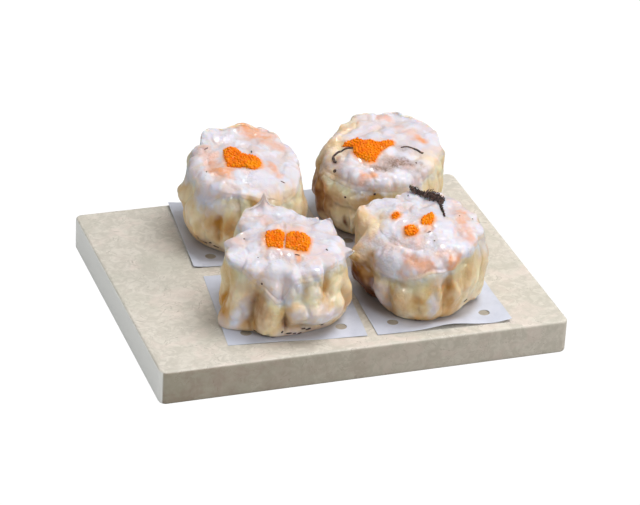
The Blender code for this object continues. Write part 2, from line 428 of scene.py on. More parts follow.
DUMPLINGS = (
    Dumpling(
        number=1,
        radius=22,
        crown=28.6,
        plan=(
            (0, 20.2), (24, 19.4), (45, 19.8), (70, 21.6), (100, 22), (140, 22.8), (180, 21.4), (225, 21.8),
            (270, 22.2), (315, 21.6),
        ),
        rim=(
            (0, 23.6), (22, 25.8), (50, 28.0), (68, 29.2), (97, 30.2), (118, 30.2), (133, 29.4),
            (150, 28.2), (172, 25), (200, 23), (212, 22.4), (230, 19.5), (250, 23.6), (270, 24.0),
            (296, 21.8), (309, 20.4), (328, 21.4), (347, 24.4),
        ),
        creases=(
            Crease(12, 1.2), Crease(40, 1.9, 6), Crease(66, 1.4), Crease(92, 2.0, -6), Crease(121, 1.6),
            Crease(146, 1.9, 5), Crease(170, 1.6), Crease(201, 1.9, 6), Crease(234, 1.0, -5, 2, 20),
            Crease(248, 1.7, 3, 5, 16), Crease(268, 1.3, -4, -2, 24), Crease(288, 1.2, 6, -2, 30),
            Crease(318, 0.7, -6), Crease(346, 1.2),
        ),
        bulges=(
            Bulge(183, 15, 2.6, 3.0, 2.2), Bulge(352, 8, 6, 5, 0.9), Bulge(2, 18, 4, 3, -1.3),
            Bulge(222, 10, 6, 5, 1.2), Bulge(257, 13, 3.2, 4, 1.6), Bulge(305, 15, 9, 9, 0.8),
            Bulge(235, 2.5, 12, 3, -1.6), Bulge(236, 17, 4, 3, 0.8), Bulge(196, 20, 3, 3, -0.8),
            Bulge(240, 12, 2.6, 3, 0.9),
        ),
        tips=(
            Tip(209, 0.8, 0.9, 8), Tip(262, 0.5, 0.4, 8), Tip(138, 0.8, 0.4, 9), Tip(66, 0.6, 0.3, 8),
            Tip(176, 0.6, 0.8, 4), Tip(226, -0.5, 0.6, 6),
        ),
        lumps=(
            (-13.5, 14.5, 4.4, 0.9), (-7.5, 13, 5, 0.8), (-3, 18, 5.2, 1.0), (4, 17, 4.6, 0.9),
            (7.5, 14, 5, 0.9), (6.8, 3.4, 3.2, 0.9), (15, -4, 5.4, 1.2), (-13, 7, 3.6, 0.5),
            (-14.5, -7, 4.6, 0.8), (-2.7, -13.5, 4.4, 0.9), (6.5, -11, 5.6, 1.2), (-9.5, -15.5, 3.8, 0.6),
            (13, -11.5, 3.6, 0.6), (-3, 9.5, 4, 0.5), (-16.5, -1, 3, 0.6),
        ),
        shrimps=(
            ((-4.5, 20.5), (-1, 18.4), 2.8, 1.1), ((-1, 18.6), (5, 13.6), 4.4, 0.9),
            ((4, 12), (11, 9.4), 3.4, 0.6), ((-15, 5), (-14, 1), 2.4, 0.55),
            ((-12.6, 0), (-11, -7), 3.0, 0.75), ((-11, -7.6), (-6.4, -10), 2.6, 0.95),
            ((-6, -10), (-5.4, -12.6), 1.8, 0.8), ((8, -2.6), (11, -8.4), 1.8, 0.75),
            ((5, -6), (8, -8), 2, 0.3),
        ),
        stains={
            "mince": (
                Stain(232, 19.5, 7.5, 4, 1.1), Stain(262, 20, 4, 2, 0.4), Stain(190, 23, 6, 3.4, 0.9),
            ),
            "dough": (Stain(300, 20, 12, 4, 0.8),),
            "cream": (Stain(222, 13, 5, 3, 0.8), Stain(285, 12, 10, 8, 0.8)),
            "amber": (
                Stain(248, 12, 2.2, 4.6, 1.1), Stain(258, 12, 2.8, 4.4, 0.9), Stain(240, 13, 2.6, 3.4, 0.5),
                Stain(216, 20, 2.6, 2, 0.6), Stain(281, 21.8, 2.6, 1.8, 0.9), Stain(190, 9, 4, 4, 0.35),
                Stain(222, 5, 5, 3, 0.4),
            ),
            "brown": (Stain(236, 2, 14, 2.2, 0.5), Stain(356, 8, 4, 10, 0.25)),
        },
    ),
    Dumpling(
        number=2,
        radius=22.3,
        crown=28.6,
        plan=(
            (0, 21.4), (50, 22.2), (78, 22.8), (120, 22.2), (146, 21.4), (180, 23.0), (200, 23.6),
            (240, 22.0), (310, 22),
        ),
        rim=(
            (0, 25.6), (30, 28), (50, 29.2), (75, 30.4), (95, 28.8), (120, 28.6), (140, 26.6), (150, 26.2),
            (178, 22.6), (200, 21.0), (222, 20.8), (240, 20.2), (270, 20.6), (300, 20.4), (332, 24),
        ),
        creases=(
            Crease(16, 1.4), Crease(44, 1.8, 5), Crease(70, 1.5), Crease(98, 1.9, -5), Crease(128, 1.6),
            Crease(157, 1.7, 4), Crease(186, 1.6), Crease(211, 2.6, -6, -4, 17),
            Crease(224, 2.6, 5, -4, 13), Crease(237, 2.2, -3, 1, 10), Crease(251, 2.8, 6, -4, 13),
            Crease(276, 1.5, -4, -4, 15), Crease(301, 1.7, 5, -4, 20), Crease(322, 1.5),
            Crease(338, 1.2, 3), Crease(353, 1.4),
        ),
        bulges=(
            Bulge(238, 16, 6, 3.2, 1.6), Bulge(212, 16.5, 5, 3, 1.2), Bulge(200, 5, 8, 5, -1.0),
            Bulge(184, 10.5, 5, 4, 1.0), Bulge(230, 6, 2.2, 5, 0.9), Bulge(244, 6, 2.4, 5, 0.9),
            Bulge(8, 25, 5, 3, 1.0), Bulge(355, 8, 5, 5, -0.7), Bulge(28, 24, 6, 6, 0.8),
            Bulge(236, 11.2, 7, 1.6, -1.2), Bulge(262, 13, 6, 3, -0.8), Bulge(150, 24, 7, 4, -0.8),
        ),
        tips=(Tip(357, 0.6, 0.6), Tip(120, 1.0, 0.4, 9), Tip(30, 0.6, 0.4), Tip(140, 0.8, 0.5, 6)),
        lumps=(
            (1.5, 7.1, 4.2, 0.9), (0.5, 17, 4.4, 1.2), (-9.5, 12, 4.6, 0.8), (9, 11, 4.5, 0.7),
            (13.5, 0, 4.5, 0.6), (-11.5, -12, 5, 0.9), (6.8, -17, 4.6, 0.9), (-2.5, -18.5, 4.2, 0.8),
            (14, -10, 4.4, 0.7), (4.5, -8.5, 4, 0.5), (-4, -15, 3.2, 0.3), (-14, 4, 4.4, 0.5),
            (-13.2, -8.6, 3.2, 0.6),
        ),
        shrimps=(
            ((-1.4, 16.5), (1.8, 15.5), 2.0, 0.7), ((11.6, 4.4), (13.6, 3.2), 2.2, 1.0),
            ((6, 9), (10, 6), 2.8, 0.4), ((-6.4, -17.4), (-3, -17.8), 1.6, 0.9),
            ((-7, 10), (-3, 13), 4, 0.2), ((-14, 8), (-9, 12), 2.4, 0.3),
            ((-4.5, -12.6), (-2, -13.4), 1.6, 0.5), ((2, -11), (9, -12), 1.8, 0.4),
        ),
        stains={
            "mince": (Stain(240, 22, 10, 2, 0.8), Stain(285, 22, 8, 3, 0.8)),
            "dough": (
                Stain(182, 26, 10, 5), Stain(140, 27, 8, 3), Stain(335, 24, 7, 4, 0.8),
                Stain(210, 20, 5, 3, 0.7),
            ),
            "cream": (
                Stain(230, 6.5, 2.4, 5, 1.1), Stain(244, 6.5, 2.4, 5, 1.1), Stain(236, 16.6, 8, 2.4, 0.9),
            ),
            "amber": (
                Stain(192, 13, 7, 7), Stain(208, 13, 4, 6, 0.9), Stain(257, 18, 4.8, 3.0, 1.1),
                Stain(262, 12, 6, 3, 0.5), Stain(228, 15, 4, 3, 0.4),
            ),
            "brown": (
                Stain(196, 9, 8, 8), Stain(214, 5, 2.0, 4, 0.4), Stain(254, 6, 3.0, 5, 0.5),
                Stain(237, 5.4, 0.7, 2.4, 1.1), Stain(238, -1, 20, 1.4, 0.7), Stain(236, 11.4, 7, 0.9, 0.5),
            ),
        },
        gills=(
            (-0.5, -14.2, 4.4, 1.9, 1.0), (6, -11.6, 7.5, 2.8, 1.0), (7, -4, 3.6, 2.4, 0.5),
            (-15.6, -7.6, 1.6, 2.0, 0.5), (8, -14, 4, 1.4, 0.4), (11, -10, 3, 1.2, 0.3),
        ),
    ),
    Dumpling(
        number=3,
        radius=21.2,
        crown=28.0,
        plan=(
            (0, 20.8), (20, 20.2), (45, 19.9), (90, 20.2), (130, 22.2), (150, 21.0), (164, 18.4),
            (176, 19.6), (194, 22), (212, 22.2), (270, 21.4), (320, 21.4), (342, 21.8),
        ),
        rim=(
            (0, 23.4), (20, 24.2), (45, 26.8), (65, 25.4), (85, 26.4), (110, 28.8), (135, 29.4),
            (155, 25.8), (175, 24.2), (208, 24.8), (228, 22.5), (250, 18.2), (267, 14.2), (280, 21.4),
            (307, 22.4), (323, 24.6), (343, 23.5),
        ),
        creases=(
            Crease(18, 1.6), Crease(48, 1.5, 5), Crease(76, 1.9), Crease(104, 1.4, -4), Crease(132, 1.8),
            Crease(158, 1.6), Crease(182, 1.5), Crease(204, 1.3, 3, -2, 18), Crease(243, 2.8, 6, -4, 20),
            Crease(271, 3.0, -1, 2, 15), Crease(290, 1.8, 0, 15, 40), Crease(312, 1.8, 0, 14, 40),
            Crease(334, 2.2, -10, 3, 16), Crease(355, 1.4),
        ),
        bulges=(
            Bulge(184, 20.5, 4, 2.6, -1.2), Bulge(303, 9.6, 10, 3.6, 3.1), Bulge(283, 4.5, 6, 3.6, -2.2),
            Bulge(306, 2.0, 9, 3.0, -2.6), Bulge(214, -1.0, 5.6, 4.2, 5.6), Bulge(3, 20, 3, 2.6, -2.4),
            Bulge(346, 10, 5, 6, 0.7), Bulge(259, 7, 3.2, 7, 1.5), Bulge(226, 10, 3.4, 8, 0.9),
            Bulge(183, 25.2, 2.4, 2.0, 1.2), Bulge(242, 10, 4, 8, -1.4), Bulge(48, 24, 6, 5, 0.8),
            Bulge(166, 24, 3.4, 4, -1.8), Bulge(284, 14.5, 5, 1.8, -1.0), Bulge(212, 25, 4, 2, 1.0),
        ),
        tips=(
            Tip(116, 0.6, -0.2, 9, 2), Tip(116, 4.4, 0.0, 4.0, 1.5), Tip(186, 0.4, 0.9, 4),
            Tip(212, 0.6, 1.0, 8), Tip(357, 0.8, 4.4, 3.4, 1.3), Tip(128, 0.6, 0.2, 9),
            Tip(60, 0.8, 0.3, 4), Tip(42, 1.4, 0.4, 6), Tip(338, 0.4, 0.5, 5),
        ),
        lumps=(
            (-12, 4.5, 5.2, 0.9), (-14, -10.5, 5, 0.9), (-3, 14.4, 4.2, 0.9), (3.4, 13, 3.8, 0.7),
            (-2.3, 7.5, 3.8, 0.4), (11, 8, 4.8, 0.9), (14, -3, 4.6, 0.8), (8.5, -13.5, 5.4, 0.9),
            (-2.6, -15, 5, 1.0), (-8, -14, 4, 0.6), (15, -9.5, 3, 0.5), (-7.2, 14.2, 4.4, 0.6),
        ),
        shrimps=(
            ((-17, -2.6), (-14.6, -5), 2.4, 0.4), ((-9, 10), (-7.4, 7), 2.2, 0.4),
            ((3.2, -10.4), (4.2, -12.4), 1.3, 0.8), ((-3, 4), (4, 3), 2.2, 0.45),
            ((-8, 0), (-7.6, -6), 1.6, 0.5), ((8, -8), (13, -9), 3, 0.25), ((-6, -9), (2, -10), 2.6, 0.3),
        ),
        stains={
            "mince": (
                Stain(268, 21, 8, 6, 1.3), Stain(270, 16, 2.6, 3.4, 1.2), Stain(246, 24, 5, 2.6, 0.8),
                Stain(230, 7, 2.0, 7, 1.0, 0.42), Stain(218, 1.5, 4, 2.4, 0.6), Stain(300, 9.4, 8.5, 4.0),
                Stain(117, 31, 9, 8, 1.6), Stain(357, 22, 3, 2.4, 0.9), Stain(297, 24, 12, 2.4, 0.8),
                Stain(300, 18, 2.4, 3.4, 0.35), Stain(285, 1.5, 12, 2.4, 0.5),
            ),
            "dough": (Stain(247, 13, 4.4, 5, 0.9), Stain(185, 20, 6, 3, 0.6)),
            "cream": (Stain(287, 16, 4, 3, 1.2), Stain(325, 16, 6, 6, 0.8), Stain(261, 8, 3, 6, 0.6)),
            "amber": (
                Stain(207, 7, 4.6, 4.6, 1.3), Stain(241, 3.5, 3, 3.4, 0.8), Stain(249, 13, 4, 5, 0.6),
                Stain(290, 18.6, 1.1, 3.6, 0.8), Stain(311, 18, 1.3, 4.2, 0.8),
                Stain(329, 10, 1.6, 4, 1.0, 0.5), Stain(213, 17, 3, 6, 0.35),
            ),
            "brown": (
                Stain(245, 11, 5, 8, 0.6), Stain(273, 6.6, 1.6, 4.4, 0.8), Stain(286, 4.0, 6, 2.2, 0.5),
                Stain(300, 1, 12, 1.6, 0.7), Stain(262, 0.2, 10, 1.2, 0.7), Stain(5, 10, 8, 10, 0.7),
                Stain(235, 17, 4, 3, 0.3),
            ),
        },
    ),
    Dumpling(
        number=4,
        radius=21.4,
        crown=29.2,
        plan=(
            (0, 21.2), (40, 20.0), (90, 20.6), (128, 21), (152, 23.5), (168, 23.6), (174, 23.0),
            (192, 23.4), (212, 21.4), (240, 20.8), (270, 21.2), (320, 20.2),
        ),
        rim=(
            (0, 25.4), (30, 26.2), (60, 28.2), (90, 28.4), (120, 27.6), (150, 28.4), (166, 27.6),
            (181, 20.6), (190, 19.4), (215, 17), (235, 16), (249, 15.8), (262, 17.4), (279, 20),
            (289, 19.6), (301, 20.2), (312, 22), (330, 25),
        ),
        creases=(
            Crease(14, 1.3), Crease(42, 1.7, 5), Crease(69, 1.5), Crease(97, 1.9, -5), Crease(126, 1.6),
            Crease(152, 1.8), Crease(182, 1.9), Crease(213, 2.0, -6, -6, 14), Crease(239, 1.8, 4, -6, 14),
            Crease(267, 1.5, -3, -2, 12), Crease(276, 0.8, 2, 3, 12), Crease(296, 2.2, 3, -2, 18),
            Crease(313, 1.0, -6, 2, 18), Crease(338, 1.2, 4),
        ),
        bulges=(
            Bulge(320, 3, 8, 6, -1.4), Bulge(344, 1, 6, 4, -1.4), Bulge(196, 11, 5, 6, 0.9),
            Bulge(227, 8, 4, 5, 1.0), Bulge(253, 8, 5, 6, 0.8), Bulge(282, 8, 3.4, 5, 1.1),
            Bulge(325, 12, 7, 8, 0.4), Bulge(202, 1.5, 8, 7.5, -4.6), Bulge(218, 0, 6, 4, -2.2),
            Bulge(167, 24, 6, 6, 0.7), Bulge(196, 17.2, 3.6, 2.2, 1.7), Bulge(183, 20, 3, 1.6, -0.6),
            Bulge(236, 17.5, 10, 2.2, 1.3), Bulge(238, 13.6, 9, 1.5, -1.0), Bulge(150, 22, 3, 6, -0.6),
            Bulge(306, 10, 3.4, 4, 0.6),
        ),
        tips=(Tip(197, 0.6, 3.0, 6, 1.3), Tip(163, 0.5, 0.3, 8), Tip(25, 0.6, 0.3), Tip(120, 0.8, 0.3)),
        lumps=(
            (-12.5, -4.5, 6, 1.0), (-10, -14, 5.4, 1.0), (5, -10, 6.6, 1.2), (6.5, -4, 5, 0.6),
            (-5.5, -17.5, 4.6, 0.9), (-3.5, 9.5, 4.8, 0.8), (3.5, 17, 3.4, 0.6), (12.5, 3, 4.2, 0.7),
            (15, -5.5, 4.4, 0.8), (0, -12.5, 4, 0.5), (-13, 5.5, 4.6, 0.8), (13, -11, 4.8, 0.9),
            (-15.6, 11, 4, 0.7),
        ),
        shrimps=(
            ((11.6, 6), (12.6, -1), 2.4, 0.75), ((13, -2), (15, -8), 2.6, 0.6),
            ((-10, -10.5), (-2, -11.5), 3.0, 0.35), ((-5, -17), (1.6, -20), 2.4, 0.75),
            ((9, -16.4), (11.4, -16), 1.7, 1.0), ((0.8, -7.4), (2, -7), 1.3, 0.7),
            ((-17.4, 3), (-16.8, -6), 1.8, 0.5), ((5, -16), (9, -15), 2, 0.35),
            ((9, 13), (13, 8), 2.4, 0.3),
        ),
        stains={
            "mince": (
                Stain(226, 8, 4.4, 5, 0.9), Stain(281, 7.6, 1.8, 4.8, 0.9), Stain(290, 17.6, 4.4, 2.8, 0.9),
                Stain(240, 17.2, 11, 2.4), Stain(352, 22, 7, 4, 0.7),
            ),
            "dough": (Stain(197, 18, 6, 4), Stain(178, 24, 8, 6, 1.2)),
            "cream": (Stain(180, 23, 8, 5, 0.8), Stain(325, 12, 7, 8, 0.7)),
            "amber": (
                Stain(198, 12, 8, 7, 1.1), Stain(297, 14.4, 1.8, 3.4, 0.9), Stain(299, 6, 1.5, 4, 0.8),
                Stain(266, 9.6, 3, 1.6, 0.6), Stain(275, 1.6, 8, 1.6, 0.8), Stain(250, 8, 5, 6, 0.4),
                Stain(318, 17, 4, 5, 0.5), Stain(168, 24, 3, 5, 0.5),
            ),
            "brown": (
                Stain(196, 8, 5.4, 6, 0.6), Stain(204, 2, 10, 5, 1.1), Stain(184, 12, 6, 7, 0.5),
                Stain(236, 13.6, 10, 0.9, 0.35), Stain(288, 20.4, 3.4, 0.5, 0.9, 0.06),
                Stain(270, 0, 12, 1.0, 0.5), Stain(198, 5, 9, 8, 1.6),
            ),
        },
    ),
)

WIDEST = 9.0  # the height where a wall is widest
FOOT = 9.0  # the height that the foot is rounded over
FOOT_SHARE = 0.19  # the share of its radius that a wall is rounded in at its foot
LEANS_IN = 0.045  # the share of its radius that a wall loses on its way up
TURNS_IN = 0.05  # and the share that it loses close under its rim
SHOULDER = 0.30  # the share of a crown's radius that its rounded shoulder takes
DEEPEST_CREASE = 3.6
SPIKE_LIFT = 2.0  # a pointed corner that rises more than this is a spike
TIP_REACH = 2.6  # how far under the rim a pointed corner still bends the wall
GOLDEN_TURN = 2.39996  # steps of this turn spread places evenly over a disc
COLUMNS = 480
CROWN_PILLOWS = 26
PILLOWS_REACH = 20  # how far out the pillows of a crown are spread
WALL_PILLOWS = 54


def profile(height, rim):
    """The share of its radius that a wall has at a height: less at its rounded foot and towards its rim."""
    foot = FOOT_SHARE * (1 - np.sqrt(np.clip(1 - (1 - np.clip(height, 0, FOOT) / FOOT) ** 2, 0, 1)))
    up = np.clip(height - WIDEST, 0, 40) / (rim - WIDEST)
    return 1.0 - foot - LEANS_IN * up**2 - TURNS_IN * np.clip(up, 0, 1.1) ** 7


def waver(dumpling, angle, height):
    """How far the creases are read aside at each place, in radians, and how strong they are there."""
    x, y = dumpling.radius * np.cos(angle), dumpling.radius * np.sin(angle)
    place = np.stack([x, y, 0.7 * height], axis=-1)
    aside = 0.09 * wobble(place, 8, dumpling.number + 50) + 0.05 * wobble(place, 3.5, dumpling.number + 51)
    return aside, np.clip(0.8 + 1.1 * wobble(place, 6.5, dumpling.number + 52), 0.1, 1.5)


def creases(dumpling, angle, height):
    """How deep the creases are at each place."""
    aside, strength = waver(dumpling, angle, height)
    angle = angle + aside
    depth = np.zeros_like(angle)
    drifted = (height - 12) / 12
    places = [radians(crease.angle) + radians(crease.drift) * drifted for crease in dumpling.creases]
    for i, crease in enumerate(dumpling.creases):
        away = circle_gap(angle, places[i]) * dumpling.radius
        to_left = np.abs(circle_gap(places[i], places[i - 1])) * dumpling.radius / 2
        to_right = np.abs(circle_gap(places[i], places[(i + 1) % len(places)])) * dumpling.radius / 2
        side = np.clip(np.where(away < 0, to_left, to_right), 1.2, 4.6)
        live = soft_step(height, crease.low - 2, crease.low + 2.5)
        live = live * fade(height, crease.high - 3, crease.high + 1.5)
        depth = depth + live * crease.depth * 1.1 * np.clip(1 - np.abs(away) / side, 0, 1) ** 1.7
    return DEEPEST_CREASE * np.tanh(strength * depth / DEEPEST_CREASE)


def rim_height(dumpling, angle):
    """How high the dough stands, with the lift of its pointed corners."""
    return around(dumpling.rim, angle) + sum(tip.lift * tip.near(angle) for tip in dumpling.tips)


def tip_push(dumpling, angle, under_rim):
    """How the pointed corners of dough push the rim outwards at each place."""
    out = sum(tip.out * tip.near(angle) for tip in dumpling.tips) * np.exp(-((under_rim / TIP_REACH) ** 2))
    return out[..., None] * np.stack([np.cos(angle), np.sin(angle), 0 * angle], axis=-1)


def spike_calm(dumpling, angle, from_rim):
    """The share of the relief that is left at each place, because a tall spike is smooth."""
    left = np.ones(np.broadcast(angle, from_rim).shape)
    for tip in dumpling.tips:
        if tip.lift > SPIKE_LIFT:
            away = circle_gap(angle, radians(tip.angle)) / (1.6 * radians(tip.width))
            left = left * (1 - 0.95 * np.exp(-(away**2) - (from_rim / 5) ** 2))
    return left


def swelling(dumpling, angle, height):
    """How far the dough's swellings and hollows stand out."""
    out = np.zeros(np.broadcast(angle, height).shape)
    for bulge in dumpling.bulges:
        away = circle_gap(angle, radians(bulge.angle)) * dumpling.radius / bulge.width
        out = out + bulge.out * np.exp(-(away**2) - ((height - bulge.height) / bulge.tall) ** 2)
    return out


def wall(dumpling, angle, height):
    """The plain wall at each angle and height, with its creases, and how deep in a crease each place is."""
    angle, height = np.broadcast_arrays(angle, height)
    depth = creases(dumpling, angle, height)
    rim = rim_height(dumpling, angle)
    radius = around(dumpling.plan, angle) * profile(height, rim) + swelling(dumpling, angle, height)
    radius = radius - depth * (0.4 + 0.6 * soft_step(height, 0, 6))
    return np.stack([radius * np.cos(angle), radius * np.sin(angle), height], axis=-1), depth


def crown_height(dumpling, x, y):
    """The height of the filling's smooth crown, before its lumps."""
    angle = np.arctan2(y, x)
    shifts = [radians(shift) for shift in (-36, -18, 0, 18, 36)]
    low = sum(around(dumpling.rim, angle + shift) for shift in shifts) / len(shifts)
    share = np.clip(np.hypot(x, y) / (around(dumpling.plan, angle) * 0.9), 0, 1)
    return dumpling.crown - (dumpling.crown - low) * share**2.3


def all_round():
    """The angles of a dumpling's columns."""
    return np.arange(COLUMNS) * 2 * pi / COLUMNS


def rim_ring(dumpling):
    """The filling's rim all round: its angles, points and the depth of its creases."""
    angle = all_round()
    edge, depth = wall(dumpling, angle, rim_height(dumpling, angle))
    return angle, edge, depth


def shoulder(dumpling, turn):
    """Rings of the rounded shoulder above the rim. Their turns go from 0 at the rim to a right angle."""
    angle, edge, depth = rim_ring(dumpling)
    turn = turn[:, None]
    out = np.hypot(edge[:, 0], edge[:, 1])
    reach = (out + depth * soft_step(turn, 0.2, 1.3)) * (1 - SHOULDER * (1 - np.cos(turn)))
    inner = (out + depth) * (1 - SHOULDER)
    top = crown_height(dumpling, inner * np.cos(angle), inner * np.sin(angle))
    height = edge[:, 2] + (top - edge[:, 2]) * np.sin(turn)
    return np.stack([reach * np.cos(angle), reach * np.sin(angle), height], axis=-1)


def crown(dumpling, share):
    """Rings of the crown inside its shoulder: a share of the shoulder's radius out from its middle."""
    angle, edge, depth = rim_ring(dumpling)
    reach = (np.hypot(edge[:, 0], edge[:, 1]) + depth) * (1 - SHOULDER) * share[:, None]
    x, y = reach * np.cos(angle), reach * np.sin(angle)
    return np.stack([x, y, crown_height(dumpling, x, y)], axis=-1)


@cache
def pillows(number):
    """Every lump of a dumpling's crown and wall: its middle in millimetres, its radius and its rise."""
    dumpling = DUMPLINGS[number - 1]
    rng = Random(40 + number)
    made = []

    def add(x, y, radius, rise):
        made.append(((x, y, float(crown_height(dumpling, x, y))), radius, rise))

    for x, y, radius, rise in dumpling.lumps:
        add(x, y, radius, 1.1 * rise)
    for (x0, y0), (x1, y1), radius, _ in dumpling.shrimps:
        steps = max(2, int(hypot(x1 - x0, y1 - y0) / 2))
        for i in range(steps + 1):
            add(x0 + (x1 - x0) * i / steps, y0 + (y1 - y0) * i / steps, radius * 1.3, 0.5 + 0.2 * (i % 2))
    for i in range(CROWN_PILLOWS):
        turn = i * GOLDEN_TURN + rng.uniform(-0.3, 0.3)
        out = PILLOWS_REACH * ((i + 0.5) / CROWN_PILLOWS) ** 0.5
        add(out * cos(turn), out * sin(turn), rng.uniform(2.6, 5.6), rng.uniform(0.3, 0.9))
    for i in range(WALL_PILLOWS):
        turn, height = i * GOLDEN_TURN + rng.uniform(-0.3, 0.3), rng.uniform(2, 25)
        place, _ = wall(dumpling, np.array(turn), np.array(height))
        made.append((tuple(place), rng.uniform(2.4, 5.4), rng.uniform(0.2, 0.9)))
    return made


def wrinkles(points, size, seed, width):
    """Thin winding lines, from 0 to 1, where wrinkles and the gaps between lumps run."""
    return np.exp(-((wobble(points, size, seed) / width) ** 2))


def relief(dumpling, points):
    """How far the lumps and wrinkles stand out at each point, and how plainly a lump is there: 0 to 1."""
    lump = np.zeros(points.shape[:-1])
    for middle, radius, rise in pillows(dumpling.number):
        away = ((points - np.array(middle)) ** 2).sum(axis=-1) / radius**2
        near = away < 1
        lump[near] += (rise * (1 - away[near]) ** 1.5) ** 3
    lump = np.cbrt(lump)
    seed = dumpling.number * 9
    tall = points * np.array([1, 1, 0.6])
    warped = tall + 1.4 * np.stack([wobble(points, 6, seed + i) for i in (4, 5, 6)], axis=-1)
    gaps = wrinkles(warped, 8, seed, 0.15)
    soft = 0.65 * wobble(points, 9, seed + 2) + 0.36 * wobble(warped, 4.2, seed + 3)
    fine = 0.19 * wobble(warped, 2.1, seed + 7) + 0.08 * wobble(points, 1.0, seed + 8)
    return lump + soft + fine - 0.4 * gaps + 0.15, np.clip(lump - 0.3 * gaps, 0, 1)


def ring_normals(rings):
    """The way that each point of stacked rings faces."""
    along = np.roll(rings, -3, axis=1) - np.roll(rings, 3, axis=1)
    facing = np.cross(along, np.gradient(rings, axis=0))
    for _ in range(3):
        facing = facing + np.roll(facing, 1, axis=1) + np.roll(facing, -1, axis=1)
        facing[1:-1] = facing[1:-1] + facing[:-2] + facing[2:]
    return facing / np.maximum(np.linalg.norm(facing, axis=-1, keepdims=True), 1e-9)


def stain(dumpling, kind, points):
    """How strongly the stains of one kind colour each point, with uneven edges."""
    seed = dumpling.number + 60
    ragged = 0.6 * wobble(points, 3.4, seed) + 0.25 * wobble(points, 1.4, seed + 1)
    angle, height = np.arctan2(points[..., 1], points[..., 0]), points[..., 2]
    total = np.zeros(height.shape)
    for spot in dumpling.stains.get(kind, ()):
        up = height - spot.height
        away = (circle_gap(angle, radians(spot.angle)) * dumpling.radius - spot.lean * up) / spot.width
        total = np.maximum(total, spot.strength * fade(np.hypot(away, up / spot.tall) + ragged, 0.15, 1.6))
    return total * soft_step(np.hypot(points[..., 0], points[..., 1]), 11, 15)


def store_looks(obj, dumpling, points, **known):
    """Keeps on a mesh what its skin's colour reads: the given values, and the stains at its points."""
    for name, values in known.items():
        store(obj, name, values)
    for kind in ("mince", "dough", "cream", "amber", "brown"):
        store(obj, f"{kind}_stain", stain(dumpling, kind, points))


# ---------------------------------------------------------------- dough

WALL_ROWS = 84
UNDER_ROWS = 6
INNER_STEP = 4  # the dough's inner face has one row for this many of the outer face's
DOUGH_AT_FOOT = 0.75  # how thick the dough is
DOUGH_AT_RIM = 0.24
RIM_DIP = 0.34  # how far the rim is pressed into the filling
LIP_RISE = 0.08  # how far the lip between the dough's two faces stands over them
FAR = 20  # how far from the rim a place counts as where there is no rim near it


def outer_wall(dumpling):
    """The dough's outer face as rings from foot to rim, and the way it faces. Also how deep in a crease each
    point is, how far it is under the rim, and how plainly a lump is there."""
    angle, level = np.meshgrid(all_round(), np.linspace(0, 1, WALL_ROWS) ** 1.1)
    rim = rim_height(dumpling, angle[0])
    ring = np.stack([np.cos(angle[0]), np.sin(angle[0]), rim * 0], axis=-1) * dumpling.radius
    rim = rim + 0.45 * wobble(ring, 3.4, dumpling.number) + 0.25 * wobble(ring, 1.3, dumpling.number + 10)
    height = level * rim
    plain, depth = wall(dumpling, angle, height)
    facing = ring_normals(plain)
    out, lump = relief(dumpling, plain)
    under_rim = rim - height
    out = out * spike_calm(dumpling, angle, under_rim)
    face = plain + facing * (out * soft_step(height, -1, 3))[..., None]
    face = face + tip_push(dumpling, angle, under_rim)
    face = face - RIM_DIP * np.exp(-((under_rim / 1.5) ** 2))[..., None] * facing
    return face, facing, depth, under_rim, lump


def wrapper(dumpling, dough):
    """A cup of thin dough gathered into lobes, with a ruffled rim that clings to the filling."""
    face, facing, depth, under_rim, lump = outer_wall(dumpling)
    thickness = DOUGH_AT_RIM + (DOUGH_AT_FOOT - DOUGH_AT_RIM) * soft_step(under_rim, 0, 7)
    inner = (face - thickness[..., None] * facing)[::-INNER_STEP]
    inner[..., 2] = np.maximum(inner[..., 2], DOUGH_AT_FOOT)
    lip = (face[-1:] + inner[:1]) / 2 + np.array([0, 0, LIP_RISE])
    under = face[:1] * np.linspace(0.12, 0.95, UNDER_ROWS)[:, None, None] * np.array([1, 1, 0])
    floor = inner[-1:] * np.linspace(0.85, 0.2, 4)[:, None, None] * np.array([1, 1, 0])
    floor[..., 2] = DOUGH_AT_FOOT
    rings = np.concatenate([under, face, lip, inner, floor])
    points, faces = closed_rings(rings, (0, 0, 0), (0, 0, DOUGH_AT_FOOT))
    obj = add_mesh(f"dough_cup_{dumpling.number}", to_world(points, dumpling.middle), faces)
    flat, inside = np.zeros((UNDER_ROWS, COLUMNS)), np.zeros((len(floor), COLUMNS))
    known = {}
    read = (("fold", depth / DEEPEST_CREASE, 0), ("edge", -under_rim, -FAR), ("lump", lump, 0))
    for name, values, far in read:
        stacked = np.concatenate([flat + far, values, values[-1:], values[::-INNER_STEP], inside + far])
        known[name] = np.append(stacked.ravel(), [far, far])
    store_looks(obj, dumpling, points, **known)
    return finished(obj, dough, "dough", f"wrapper_{dumpling.number}")


# ---------------------------------------------------------------- mince and shrimp

TUCKED_ROWS = 40
SHOULDER_ROWS = 34
CROWN_ROWS = 46
TUCK_GAP = 0.10  # the gap between the filling and the dough round it
PAST_RIM = 6  # how far past the rim the crown counts as
CROWN_CALM = 0.2  # the share of the relief that the crown goes without
TIP_BACKING = 0.75  # how much of a pointed corner's push the filling behind it follows


